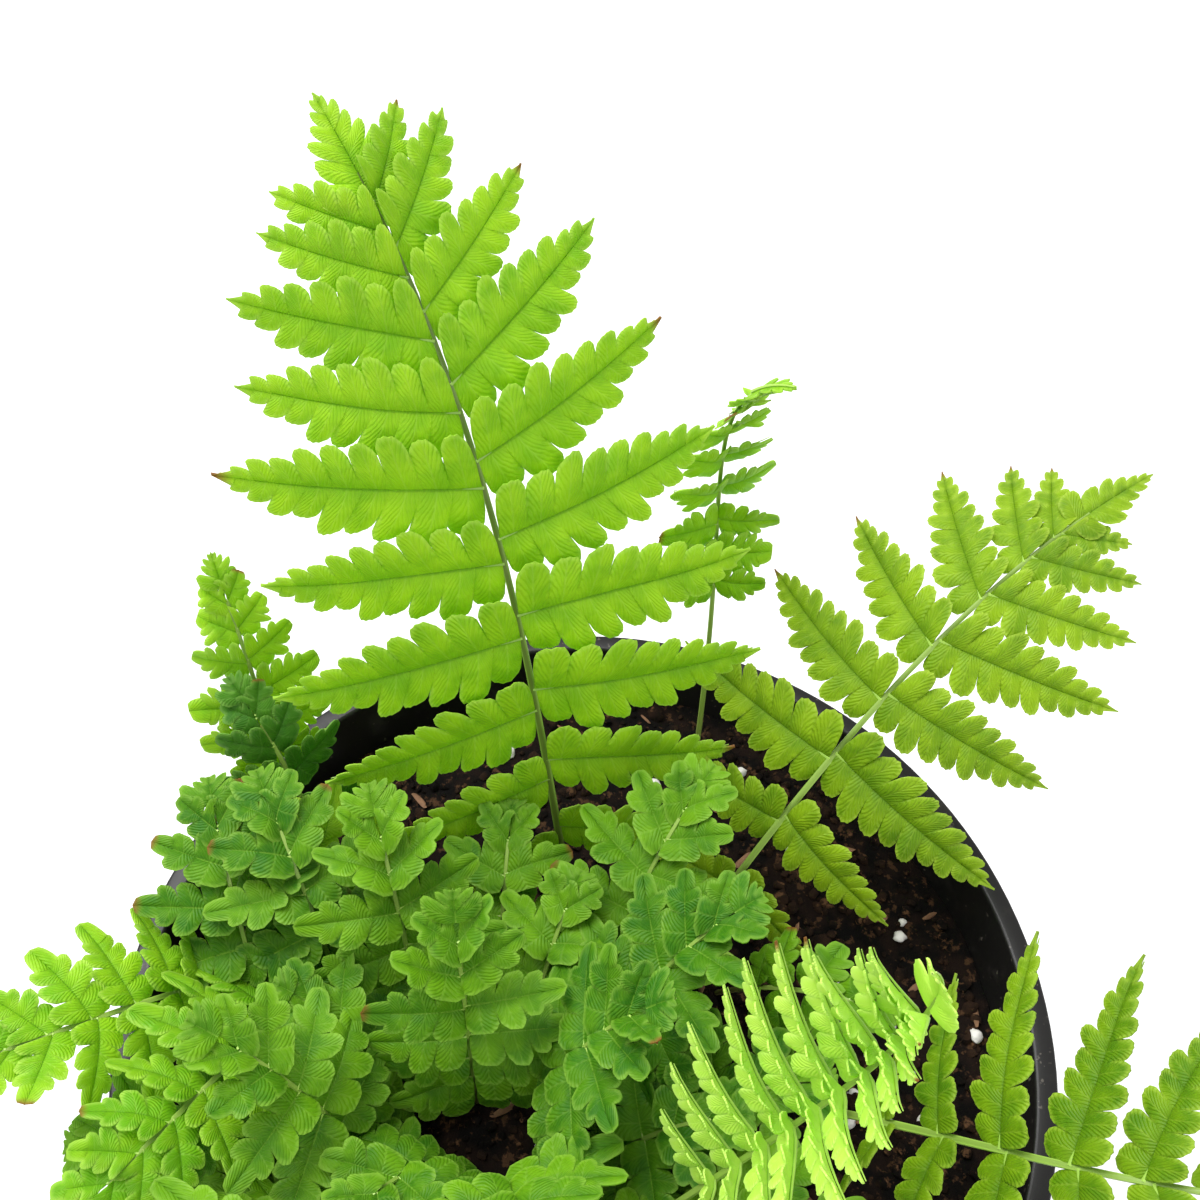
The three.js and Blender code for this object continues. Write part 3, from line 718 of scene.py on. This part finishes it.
def leaflet_copy(frond, line, t, side, rng, leaflets, ribs):
    point, along, level, face = line(t)
    drawn = leaflet_draws(frond, t, rng)
    length, forward = drawn["length"], drawn["forward"]
    axes = leaflet_axes(frond, along, level * side, face, drawn)
    if frond["small"]:
        half_width = small_half_width(frond, t)
    else:
        half_width = frond["breadth"] * (0.15 * frond["longest"] + 0.85 * length)
    neck = 0.4 * stem_radius(frond, t)
    lobes = max(2, round(frond["lobes"] * (length / frond["longest"]) ** 0.6))

    def place(u, v, w):
        return bend(point, axes, half_width, drawn, u, v, w) * MM

    ratio = half_width / length
    master = leaflet_master(
        lobes, frond["cut"], SLANT, ratio, frond["blunt"], LEAFLET_TAPER, frond["small"]
    )
    copy = new_copy(master)
    flat = points_of(master.data)
    v = flat[:, 1] * half_width
    beside_stem = v * math.tan(forward) * np.clip(1 - flat[:, 0] / 0.45, 0, 1) ** 1.5
    u = neck + flat[:, 0] * (length - neck) + beside_stem
    move_points(copy.data, place(u, v, flat[:, 2] * half_width))
    finish_values(copy.data, flat[:, 0], length, frond, rng)
    if t > frond.get("withered", 1):
        write_values(copy.data, "scorch", np.clip(0.4 + flat[:, 0], 0, 1))
    leaflets.append(copy)
    s = np.linspace(0, 0.97, RIB_STEPS)
    rib_radius = (RIB_RADIUS * (1 - s) + RIB_TIP) * (0.5 + 0.5 * length / LONGEST_LEAFLET)
    sunk = 0.15 - RIB_SUNK * np.clip(s / 0.12, 0, 1)
    ribs.append((place(s * length, 0 * s, sunk), rib_radius * MM))


# %% [markdown]
# The tip. Its leaflets have grown together, so one leaflet is laid along the end of the frond's own line.

# %% The undivided tip of a frond
def tip_copy(frond, line, rng, leaflets, ribs):
    start = SMALL_LAST if frond["small"] else frond["last"] + TIP_GAP
    length = frond["length"] * (1 - start)
    half_width = leaflet_length(frond, start) * (0.9 if frond["small"] else 0.5)
    ratio = round(half_width / length, 1)
    master = leaflet_master(
        frond["tip_lobes"], TIP_CUT, TIP_SLANT, ratio, 0, TIP_TAPER, frond["small"]
    )
    copy = new_copy(master)
    flat = points_of(master.data)
    along = flat[:, 0] - 0.02
    along = np.where(along > 0.9, 0.9 + (along - 0.9) * 0.1 / max(0.1, along.max() - 0.9), along)

    def place(u, v, w):
        point, _, level, face = line(start + u * (1 - start))
        return point + level * v[:, None] + face * w[:, None]

    move_points(copy.data, place(along, flat[:, 1] * half_width, flat[:, 2] * half_width) * MM)
    finish_values(copy.data, 0 * flat[:, 0], length, frond, rng)
    if "withered" in frond:
        write_values(copy.data, "scorch", np.full(len(flat), 0.9))
    leaflets.append(copy)
    s = np.linspace(0, 0.95, RIB_STEPS)
    ribs.append((place(s, 0 * s, 0 * s - 0.2) * MM, (RIB_RADIUS * (1 - s) + RIB_TIP) * MM))


# %% [markdown]
# Stems and ribs. A stem is a round rod that thins towards its tip, which a curve with a bevel makes.
# The ribs of a frond are the lines of a second curve, and both become meshes that are joined.

# %% The stem and its ribs as curves
BURIED = 7
STEM_SLIM = 0.75
STEM_RINGS = 40
GROOVE_DEPTH = 0.3


def tubes(name, lines, rounding):
    curve = bpy.data.curves.new(name, "CURVE")
    curve.dimensions = "3D"
    curve.bevel_depth = 1
    curve.bevel_resolution = rounding
    curve.use_fill_caps = True
    for places, widths in lines:
        spline = curve.splines.new("POLY")
        spline.points.add(len(places) - 1)
        points = np.column_stack([places, np.ones(len(places))])
        spline.points.foreach_set("co", points.astype(np.float32).ravel())
        spline.points.foreach_set("radius", np.asarray(widths, np.float32))
    piece = bpy.data.objects.new(name, curve)
    bpy.context.scene.collection.objects.link(piece)
    choose([piece])
    bpy.ops.object.convert(target="MESH")
    piece = bpy.context.object
    one_material(piece, STEM)
    return piece


def stem_piece(frond, line, ribs):
    t = np.linspace(0, frond["last"] + 0.06, STEM_RINGS)
    point, along, _, face = line(t)
    centres = np.vstack([point[0] - along[0] * BURIED, point]) * MM
    faces = np.vstack([face[0], face])
    radii = STEM_SLIM * np.concatenate([[frond["stem"]], stem_radius(frond, t)]) * MM
    stem = tubes(frond["name"] + "_stem", [(centres, radii)], 2)
    places = points_of(stem.data)
    ring = ((places[:, None] - centres[None]) ** 2).sum(2).argmin(1)
    off = places - centres[ring]
    upward = (off * faces[ring]).sum(1) / radii[ring]
    places -= faces[ring] * (GROOVE_DEPTH * radii[ring] * (upward > 0.75))[:, None]
    move_points(stem.data, places)
    # The groove mask carries the painted shade of the stem's groove, weaker on pale stems.
    write_values(stem.data, "groove", np.clip((upward - 0.5) / 0.3, 0, 1.1 - frond["pale"]))
    piece = join([stem, tubes(frond["name"] + "_ribs", ribs, 1)], frond["name"] + "_stem")
    write_values(piece.data, "pale", np.full(len(piece.data.vertices), frond["pale"]))
    return piece


# %% [markdown]
# A whole frond. Its leaflets are joined into one sheet, the sheet gets its thickness, and the stem joins it.
# The leaflets could stay apart, but they grew together with the stem, so a frond is one piece.

# %% Building a frond
LEAF_THICKNESS = 0.26


def build_frond(frond):
    rng = random.Random(frond["name"])
    frond.setdefault("tone", rng.uniform(0.0, 0.5))
    line = frond_line(frond)
    leaflets, ribs = [], []
    for t in leaflet_places(frond):
        for side in (1, -1):
            shift = frond.get("stagger", 0.012) if side < 0 else 0
            leaflet_copy(frond, line, t + shift, side, rng, leaflets, ribs)
    tip_copy(frond, line, rng, leaflets, ribs)
    blade = join(leaflets, frond["name"] + "_leaf")
    one_material(blade, LEAF_FINISHES[frond["look"]])
    apply_modifier(blade, "SOLIDIFY", thickness=LEAF_THICKNESS * MM, offset=0)
    stem = stem_piece(frond, line, ribs)
    piece = join([blade, stem], frond["name"] + "_dressed")
    smooth(piece, 50)
    return finish_piece(piece, [frond["name"]])


# %% [markdown]
# The fronds, one row each, in millimetres and degrees: where the stem stands, which way it heads,
# how far it leans and arches, how long it is, and how long its longest leaflet is.

# %% Kinds of frond
GROWN = dict(
    small=False, stem=1.1, cut=0.5, breadth=0.26, lobes=9, forward=(-20, 40), last=0.86,
    tip_lobes=6, blunt=0, look="fresh", pale=0.2, slot="frond_fresh",
)
OPEN = dict(
    small=False, stem=1, cut=0.68, breadth=0.232, lobes=9, forward=(-22, 40), last=0.83, fade=0.95,
    tip_lobes=6, blunt=0, look="olive", pale=0.6, slot="frond_fresh",
)
COMBED = dict(
    small=False, stem=0.9, cut=0.6, breadth=0.17, lobes=8, forward=(10, 50), last=0.84, tip_lobes=5, blunt=0,
    fold=0.6, look="bright", pale=0.7, slot="frond_bright",
)
YOUNG = dict(
    small=True, stem=0.8, cut=0.62, lobes=4, forward=(-5, 42), last=0.8, droop=0.2, tilt=8,
    tip_lobes=4, blunt=1, loose=2, look="fresh", early=0.06, pale=0.7, slot="frond_fresh",
)
SMALL = dict(
    small=True, stem=0.7, cut=0.68, lobes=3, forward=(-5, 40), last=0.74, bare=0.4, droop=0.2, tilt=8,
    tip_lobes=3, blunt=1, loose=2.5, look="tuft", early=0.08, pale=0.7, slot="frond_fresh",
)

# %% [markdown]
# The twelve fronds that can be told apart in the photograph. Each row has its solid's place, lean and arch.

# %% The large fronds
LARGE = [
    dict(
        GROWN, name="frond_tall", root=(-5, 29), heading=116, lean=17, arch=26, sweep=27, roll=-14,
        length=156, bare=0.085, pairs=10, longest=42, stagger=0.03, tone=0.04, dry=0.25,
    ),
    dict(
        OPEN, name="frond_right", root=(13, 10), heading=44, lean=42, arch=42, sweep=-13, roll=10,
        length=135, bare=0.19, pairs=8, longest=35, lift=-6, tone=0.12, dry=0.3,
    ),
    dict(
        YOUNG, name="frond_back_young", root=(20, 54), heading=84, lean=26, arch=-37, sweep=56, hook=-60,
        length=110, bare=0.5, longest=13, lift=26, slot="frond_deep",
    ),
    dict(
        YOUNG, name="frond_left_pale", root=(-59, 38), heading=118, lean=12, arch=19, length=70, bare=0.42,
        longest=14,
    ),
    dict(
        SMALL, name="frond_left_dark", root=(-50, 27), heading=132, lean=13, arch=40, sweep=8, roll=-13,
        length=55, longest=15, slot="frond_deep", look="deep",
    ),
    dict(
        YOUNG, name="frond_left_low", root=(-36, 15), heading=171, lean=19, arch=63, sweep=-24, roll=-20,
        length=52, bare=0.4, longest=19, tone=0.1, dry=0.4, withered=0.86,
    ),
    dict(
        YOUNG, name="frond_front_left", root=(-48, 9), heading=255, lean=39, arch=60, sweep=-26, roll=-23,
        length=78, bare=0.3, longest=21,
    ),
    dict(
        YOUNG, name="frond_left_edge", root=(-57, 10), heading=236, lean=33, arch=61, sweep=-36, roll=-26,
        length=73.6, bare=0.42, longest=18.5, tone=0.35,
    ),
    dict(
        COMBED, name="frond_front_young", root=(3, -38), heading=14, lean=27, arch=9, sweep=10, hook=-71,
        length=110, bare=0.34, pairs=11, longest=25, lift=40, tone=0.05,
    ),
    dict(
        OPEN, name="frond_front_right", root=(36, -11), heading=313, lean=28, arch=54, sweep=51, roll=20,
        length=112, bare=0.3, pairs=7, longest=32, breadth=0.2, cut=0.62, dry=0.3, tone=0.4,
    ),
    dict(
        SMALL, name="frond_middle_right", root=(4, 27), heading=312, lean=46, arch=50, sweep=10, roll=25,
        length=34, longest=12, look="bright",
    ),
    dict(
        SMALL, name="frond_low_right", root=(25, 9), heading=323, lean=26, arch=65, sweep=25, roll=28,
        length=46, longest=12, slot="frond_deep",
    ),
]

# %% [markdown]
# The low tuft. Its fronds rise from one crown in a widening spiral, as on the real plant. They could be
# placed by eye, but a rule is shorter and looks as grown. Where two fronds would cross, the frame turns one
# aside by some tens of degrees or leaves it out, so each turn is measured on the frame's own solid.

# %% The low tuft
TUFT_COUNT = 30
TUFT_CENTRE = (-18, -18)
TUFT_SPREAD = 6.8
TUFT_WIDEN = 1.2
TUFT_STEP = 137.5
TUFT_FROM = 100
TUFT_LEAN = 20
TUFT_ARCH = 34
TUFT_TURN = 10
LOWEST_LEAFLET = 0.1
LIGHT_TURN = 50
TUFT_UPRIGHT = dict(length=58, longest=20, bare=0.4, low_lean=2, low_arch=40)
TUFT_LOW = dict(length=40, longest=18, bare=0.3, low_lean=14, low_arch=44)


def turned_aside(name, root, heading):
    middle = points_of(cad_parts[name].data).mean(0) / MM
    seen = math.degrees(math.atan2(middle[1] - root[1], middle[0] - root[0]))
    aside = (seen - heading + 180) % 360 - 180
    return heading + TUFT_TURN * round(aside / TUFT_TURN)


def tuft_frond(i):
    kind = TUFT_LOW if i % 2 else TUFT_UPRIGHT
    name = f"frond_tuft_{i + 1}"
    heading = (TUFT_FROM + TUFT_STEP * i) % 360
    ring = TUFT_SPREAD * math.sqrt(i + 0.5)
    outer = i / (TUFT_COUNT - 1)
    root = (
        TUFT_CENTRE[0] + TUFT_WIDEN * ring * math.cos(math.radians(heading)),
        TUFT_CENTRE[1] + ring * math.sin(math.radians(heading)),
    )
    slot = "frond_fresh" if i % 3 else "frond_deep"
    frond = dict(SMALL, name=name, root=root, look="tuft", slot=slot) | kind
    frond["heading"] = turned_aside(name, root, heading)
    frond["early"] = kind["bare"] - LOWEST_LEAFLET
    frond["light_turn"] = LIGHT_TURN
    frond["lean"] = kind["low_lean"] + TUFT_LEAN * outer
    frond["arch"] = kind["low_arch"] + TUFT_ARCH * math.sqrt(outer)
    return frond


TUFT = [tuft_frond(i) for i in range(TUFT_COUNT) if f"frond_tuft_{i + 1}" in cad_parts]
print(len(TUFT), "fronds in the tuft")

# %% [markdown]
# The front of the plant is out of the photograph. A real one has fronds all round, so five stand in an arc
# there, upright and low ones in turn.

# %% The arc of fronds round the front
FRONT_COUNT = 5
FRONT_FROM = 230
FRONT_STEP = 17
FRONT_UPRIGHT = dict(ring=50, lean=20, arch=52, length=84, longest=23, early=0.32, light_turn=LIGHT_TURN)
FRONT_LOW = dict(ring=58, lean=36, arch=64, length=57.5, longest=17, early=0.24, light_turn=LIGHT_TURN)


def front_frond(i):
    heading = FRONT_FROM + FRONT_STEP * i
    kind = FRONT_LOW if i % 2 else FRONT_UPRIGHT
    root = (kind["ring"] * math.cos(math.radians(heading)), kind["ring"] * math.sin(math.radians(heading)))
    return dict(SMALL, name=f"frond_front_{i + 1}", root=root, heading=heading) | kind


FRONT = [front_frond(i) for i in range(FRONT_COUNT)]
pieces = [build_frond(frond) for frond in LARGE + TUFT + FRONT]
print(len(pieces), "fronds,", sum(len(piece.data.polygons) for piece in pieces), "faces")

# %% [markdown]
# The pot. It is a moulded shell with a flat-topped rim, so half its section is drawn once and spun round
# the axis. The section repeats the sizes of the frame's pot, with the corners rounded by a bevel.

# %% The pot's section
POT_WALL = 1.6
POT_FLOOR = 2.2
RIM_WIDTH = 4
RIM_SKIRT = 9
STEP_BELOW = 24
STEP_WIDTH = 2.2
BASE_RADIUS = 63.5
POT_STEPS = 128
POT_TOP = POT_HEIGHT / MM
RIM_RADIUS = POT_RADIUS / MM


def wall_radius(z):
    top = RIM_RADIUS - RIM_WIDTH + POT_WALL
    straight = BASE_RADIUS + (top - BASE_RADIUS) * z / POT_TOP
    step = POT_TOP - STEP_BELOW
    return straight - STEP_WIDTH * z / step if z < step else straight


def pot_section():
    step, skirt = POT_TOP - STEP_BELOW, POT_TOP - RIM_SKIRT
    under = wall_radius(step - 0.01)
    return [
        (0, 0), (BASE_RADIUS - 2, 0), (BASE_RADIUS, 2), (under, step - POT_WALL), (wall_radius(step), step),
        (wall_radius(skirt), skirt), (RIM_RADIUS, skirt), (RIM_RADIUS, POT_TOP),
        (RIM_RADIUS - RIM_WIDTH, POT_TOP),
        (wall_radius(step) - POT_WALL, step + POT_WALL), (under - POT_WALL, step),
        (BASE_RADIUS - POT_WALL, POT_FLOOR), (0, POT_FLOOR),
    ]


def spun(name, section, steps):
    deselect()
    bpy.ops.mesh.primitive_plane_add(size=MM)
    piece = bpy.context.object
    bpy.ops.object.mode_set(mode="EDIT")
    bpy.ops.mesh.merge(type="CENTER")
    radius, level = section[0]
    bpy.ops.transform.translate(value=(radius * MM, 0, level * MM))
    for (r0, z0), (r1, z1) in zip(section, section[1:]):
        move = ((r1 - r0) * MM, 0, (z1 - z0) * MM)
        bpy.ops.mesh.extrude_region_move(TRANSFORM_OT_translate={"value": move})
    bpy.ops.mesh.select_all(action="SELECT")
    bpy.ops.mesh.spin(steps=steps, angle=2 * math.pi, center=(0, 0, 0), axis=(0, 0, 1))
    bpy.ops.mesh.select_all(action="SELECT")
    bpy.ops.mesh.remove_doubles(threshold=0.00001)
    bpy.ops.mesh.normals_make_consistent(inside=False)
    bpy.ops.object.mode_set(mode="OBJECT")
    piece.name = name
    piece.data.name = name
    return piece


# %% [markdown]
# Pot plastic: recycled black plastic with fine moulding grain, a film of dust and pale specks of dirt.


# %% The pot's finish
def pot_material():
    material, tree, shader = new_material("pot_plastic")
    place = object_place(tree)
    grain = noise(tree, place, 900.0, 4.0)
    dust = blend_range(tree, noise(tree, place, 60.0, 6.0, 0.7), 0.55, 0.75)
    specks = blend_range(tree, noise(tree, place, 700.0, 2.0), 0.68, 0.74)
    faint_dust = math_node(tree, "MULTIPLY", dust, 0.25)
    faint_specks = math_node(tree, "MULTIPLY", specks, 0.6)
    dirt = math_node(tree, "MAXIMUM", faint_dust, faint_specks)
    base = mix_colours(tree, dirt, (0.008, 0.0075, 0.007, 1), (0.12, 0.105, 0.09, 1))
    roughness = blend_range(tree, dust, 0.0, 1.0, 0.38, 0.7)
    set_surface(tree, shader, base, roughness, bump(tree, grain, 0.25, 0.0001), 0.3)
    return material


# %% [markdown]
# Building the pot. The drain holes could be part of a net of faces, but cutting each one out with a cylinder
# keeps the floor's faces simple.

# %% Building the pot
POT_ROUNDING = 0.7
DRAIN_RADIUS = 5
DRAIN_RING = 40
DRAIN_COUNT = 4


def build_pot():
    pot = spun("pot_shell", pot_section(), POT_STEPS)
    apply_modifier(
        pot, "BEVEL", width=POT_ROUNDING * MM, segments=3, limit_method="ANGLE",
        angle_limit=math.radians(40),
    )
    for i in range(DRAIN_COUNT):
        angle = 2 * math.pi * i / DRAIN_COUNT + math.pi / 4
        deselect()
        bpy.ops.mesh.primitive_cylinder_add(
            vertices=32, radius=DRAIN_RADIUS * MM, depth=3 * POT_FLOOR * MM,
            location=(DRAIN_RING * MM * math.cos(angle), DRAIN_RING * MM * math.sin(angle), 0),
        )
        cutter = bpy.context.object
        apply_modifier(pot, "BOOLEAN", operation="DIFFERENCE", solver="EXACT", object=cutter)
        bpy.data.objects.remove(cutter)
    one_material(pot, pot_material())
    smooth(pot, 35)
    return finish_piece(pot, ["pot"])


pot = build_pot()
print("pot faces", len(pot.data.polygons))

# %% [markdown]
# Potting mix. Peat is a heap of crumbs, so a flat disc with a picture of soil would look dead.
# The fill is spun with many fine rings on top, its top is made uneven by layered waves, and loose crumbs,
# pale perlite grains and bark chips lie on it as meshes of their own.


# %% The soil's surface height
COARSE_WAVE = 0.8
LUMP_WAVE = 0.45
CRUMB_WAVE = 0.18
SURFACE_DROP = 0.2


def soil_height(x, y):
    coarse = np.sin(x / 11 + 1.3) * np.cos(y / 13 + 0.4) + 0.6 * np.sin((x + 1.7 * y) / 8)
    lumps = np.sin(x / 2.3 + 1.1 * np.sin(y / 3.1)) * np.sin(y / 2.7 + 1.3 * np.sin(x / 2.1))
    crumbs = np.sin(x * 1.9 + 2 * np.sin(y * 0.9)) * np.sin(y * 2.1 + 2 * np.sin(x * 1.1))
    waves = SOIL_LEVEL / MM + COARSE_WAVE * coarse + LUMP_WAVE * lumps + CRUMB_WAVE * crumbs
    return waves - SURFACE_DROP


# %% [markdown]
# Soil and grains. Damp peat is nearly black and has brown crumbs and flecks of fibre in it. Perlite is a
# white, rough mineral and bark is red brown, so one function with two colours makes them both.


# %% Soil and grain finishes
def soil_material(name, dark, brown, fleck_colour):
    material, tree, shader = new_material(name)
    place = object_place(tree)
    fine = noise(tree, place, 900.0, 8.0, 0.7)
    patch = blend_range(tree, noise(tree, place, 200.0, 5.0), 0.4, 0.62)
    ground = mix_colours(tree, patch, dark, brown)
    fleck = blend_range(tree, noise(tree, place, 420.0, 6.0, 0.65), 0.56, 0.64)
    colour = mix_colours(tree, fleck, ground, fleck_colour)
    set_surface(tree, shader, colour, 0.95, bump(tree, fine, 0.9, 0.0008), 0.15)
    return material


def grain_material(name, light, dark, roughness):
    material, tree, shader = new_material(name)
    place = object_place(tree)
    colour = mix_colours(tree, noise(tree, place, 500.0, 5.0), dark, light)
    normal = bump(tree, noise(tree, place, 1500.0, 5.0), 0.6, 0.0003)
    set_surface(tree, shader, colour, roughness, normal)
    return material


# %% [markdown]
# Building the soil. It could be a flat lid, but the whole fill is modelled, so that it can be lifted out.
# It keeps clear of the pot's wall all round, and only the points of its top follow the waves.

# %% Building the soil
SOIL_STEPS = 160
SOIL_RINGS = 70
SOIL_GAP = 0.3


def build_soil():
    step = POT_TOP - STEP_BELOW
    edge = wall_radius(SOIL_LEVEL / MM) - POT_WALL - SOIL_GAP
    section = [
        (0, POT_FLOOR + SOIL_GAP), (BASE_RADIUS - POT_WALL - SOIL_GAP, POT_FLOOR + SOIL_GAP),
        (wall_radius(step - 0.01) - POT_WALL - SOIL_GAP, step + SOIL_GAP),
        (wall_radius(step) - POT_WALL - SOIL_GAP, step + POT_WALL + SOIL_GAP),
    ]
    section += [(edge * (1 - k / SOIL_RINGS), SOIL_LEVEL / MM) for k in range(SOIL_RINGS + 1)]
    soil = spun("peat_fill", section, SOIL_STEPS)
    places = points_of(soil.data) / MM
    top = places[:, 2] > SOIL_LEVEL / MM - 0.5
    places[top, 2] = soil_height(places[top, 0], places[top, 1])
    move_points(soil.data, places * MM)
    peat = soil_material("peat", (0.002, 0.0015, 0.001, 1), (0.010, 0.005, 0.003, 1), (0.06, 0.03, 0.014, 1))
    one_material(soil, peat)
    choose([soil])
    bpy.ops.object.shade_smooth()
    return finish_piece(soil, ["potting_mix"])


soil = build_soil()
print("soil faces", len(soil.data.polygons))

# %% [markdown]
# Loose grains. A few kinds of lump are modelled once from a sphere of few faces, and copied about
# at random, each sunk a little way into the soil. Each kind of grain is joined into one piece.


# %% Scattering grains
def lump_master(rng, stretch, smoothness):
    deselect()
    bpy.ops.mesh.primitive_ico_sphere_add(subdivisions=smoothness, radius=1)
    lump = bpy.context.object
    places = points_of(lump.data)
    waves = np.sin(places @ np.array([[2.3, 1.1, 3.1], [1.7, 2.9, 0.7], [3.3, 0.9, 2.1]]) + rng.uniform(0, 6))
    places *= 1 + 0.24 * waves
    move_points(lump.data, places * np.array(stretch))
    put_away(lump)
    return lump


def scattered(name, places, sizes, stretch, seed, material, sink, smoothness=2):
    rng = random.Random(seed)
    kinds = [lump_master(rng, stretch, smoothness) for _ in range(4)]
    copies = []
    for (x, y), size in zip(places, sizes):
        copy = new_copy(rng.choice(kinds))
        copy.scale = (size * MM,) * 3
        copy.rotation_euler = (rng.uniform(-0.5, 0.5), rng.uniform(-0.5, 0.5), rng.uniform(0, 6.28))
        copy.location = (x * MM, y * MM, (float(soil_height(x, y)) + size * sink) * MM)
        copies.append(copy)
    piece = join(copies, name)
    bpy.ops.object.transform_apply(location=True, rotation=True, scale=True)
    one_material(piece, material)
    smooth(piece, 45)
    finish_piece(piece)


def random_places(rng, count, limit):
    places = []
    while len(places) < count:
        x, y = rng.uniform(-limit, limit), rng.uniform(-limit, limit)
        if math.hypot(x, y) < limit:
            places.append((x, y))
    return places


# %% [markdown]
# How many of each kind. Most crumbs are small and a few are large. The perlite grains that can be seen beside
# the leaves in the photograph are put where it shows them, and the others fall at random.

# %% Crumbs, perlite and bark
SOIL_LIMIT = 74
CRUMB_COUNT = 2600
PERLITE_COUNT = 60
BARK_COUNT = 90
PERLITE_SEEN = [(47, 7), (51, 7), (57, 4), (56, -4), (49, -9), (48, -14), (-66, 24), (-63, 24)]

rng = random.Random("crumbs")
crumb_places = random_places(rng, CRUMB_COUNT, SOIL_LIMIT)
crumb_sizes = [rng.uniform(0.4, 1.1) + 1.2 * rng.random() ** 6 for _ in crumb_places]
crumb_finish = soil_material(
    "peat_crumb", (0.003, 0.002, 0.0012, 1), (0.024, 0.012, 0.006, 1), (0.11, 0.055, 0.026, 1)
)
scattered("peat_crumbs", crumb_places, crumb_sizes, (1, 0.8, 0.6), 1, crumb_finish, 0.3, 1)
rng = random.Random("perlite")
grain_places = PERLITE_SEEN + random_places(rng, PERLITE_COUNT, SOIL_LIMIT)
scattered(
    "perlite_grains", grain_places, [rng.uniform(0.8, 1.6) for _ in grain_places], (1, 0.85, 0.7), 2,
    grain_material("perlite", (0.85, 0.84, 0.80, 1), (0.55, 0.52, 0.46, 1), 0.85), 0.35,
)
rng = random.Random("bark")
bark_places = random_places(rng, BARK_COUNT, SOIL_LIMIT)
scattered(
    "bark_chips", bark_places, [rng.uniform(0.6, 1.9) for _ in bark_places], (2.1, 0.55, 0.3), 3,
    grain_material("bark", (0.30, 0.15, 0.07, 1), (0.06, 0.03, 0.014, 1), 0.8), 0.25,
)

# %% [markdown]
# The stage. The photograph has a plain white ground and very soft light from above, so the floor is
# near white, the world is a bright even white, and one large lamp above and behind lights the leaves through.

# %% Floor and light
deselect()
bpy.ops.mesh.primitive_plane_add(size=8)
floor = bpy.context.object
floor.name = "floor"
floor_material, _, floor_shader = new_material("floor_white")
floor_shader.inputs["Base Color"].default_value = (0.92, 0.92, 0.92, 1)
floor_shader.inputs["Roughness"].default_value = 0.9
floor.data.materials.append(floor_material)

world = bpy.data.worlds.new("white_room")
bpy.context.scene.world = world
world.use_nodes = True
world.node_tree.nodes["Background"].inputs["Color"].default_value = (1, 1, 1, 1)
world.node_tree.nodes["Background"].inputs["Strength"].default_value = 0.8


def lamp(name, place, aim, size, power):
    deselect()
    bpy.ops.object.light_add(type="AREA", location=place)
    light = bpy.context.object
    light.name = name
    light.data.size = size
    light.data.energy = power
    direction = np.array(aim) - np.array(place)
    yaw = math.atan2(direction[1], direction[0])
    drop = math.atan2(math.hypot(direction[0], direction[1]), -direction[2])
    light.rotation_euler = (drop, 0, yaw - math.pi / 2)


lamp("key", (-0.35, 0.25, 1.0), (0, 0, 0.18), 0.7, 13)
lamp("fill", (0.5, -0.7, 0.7), (0, 0, 0.15), 0.8, 3)
bpy.context.scene.view_settings.view_transform = "Standard"
bpy.context.scene.view_settings.look = "None"
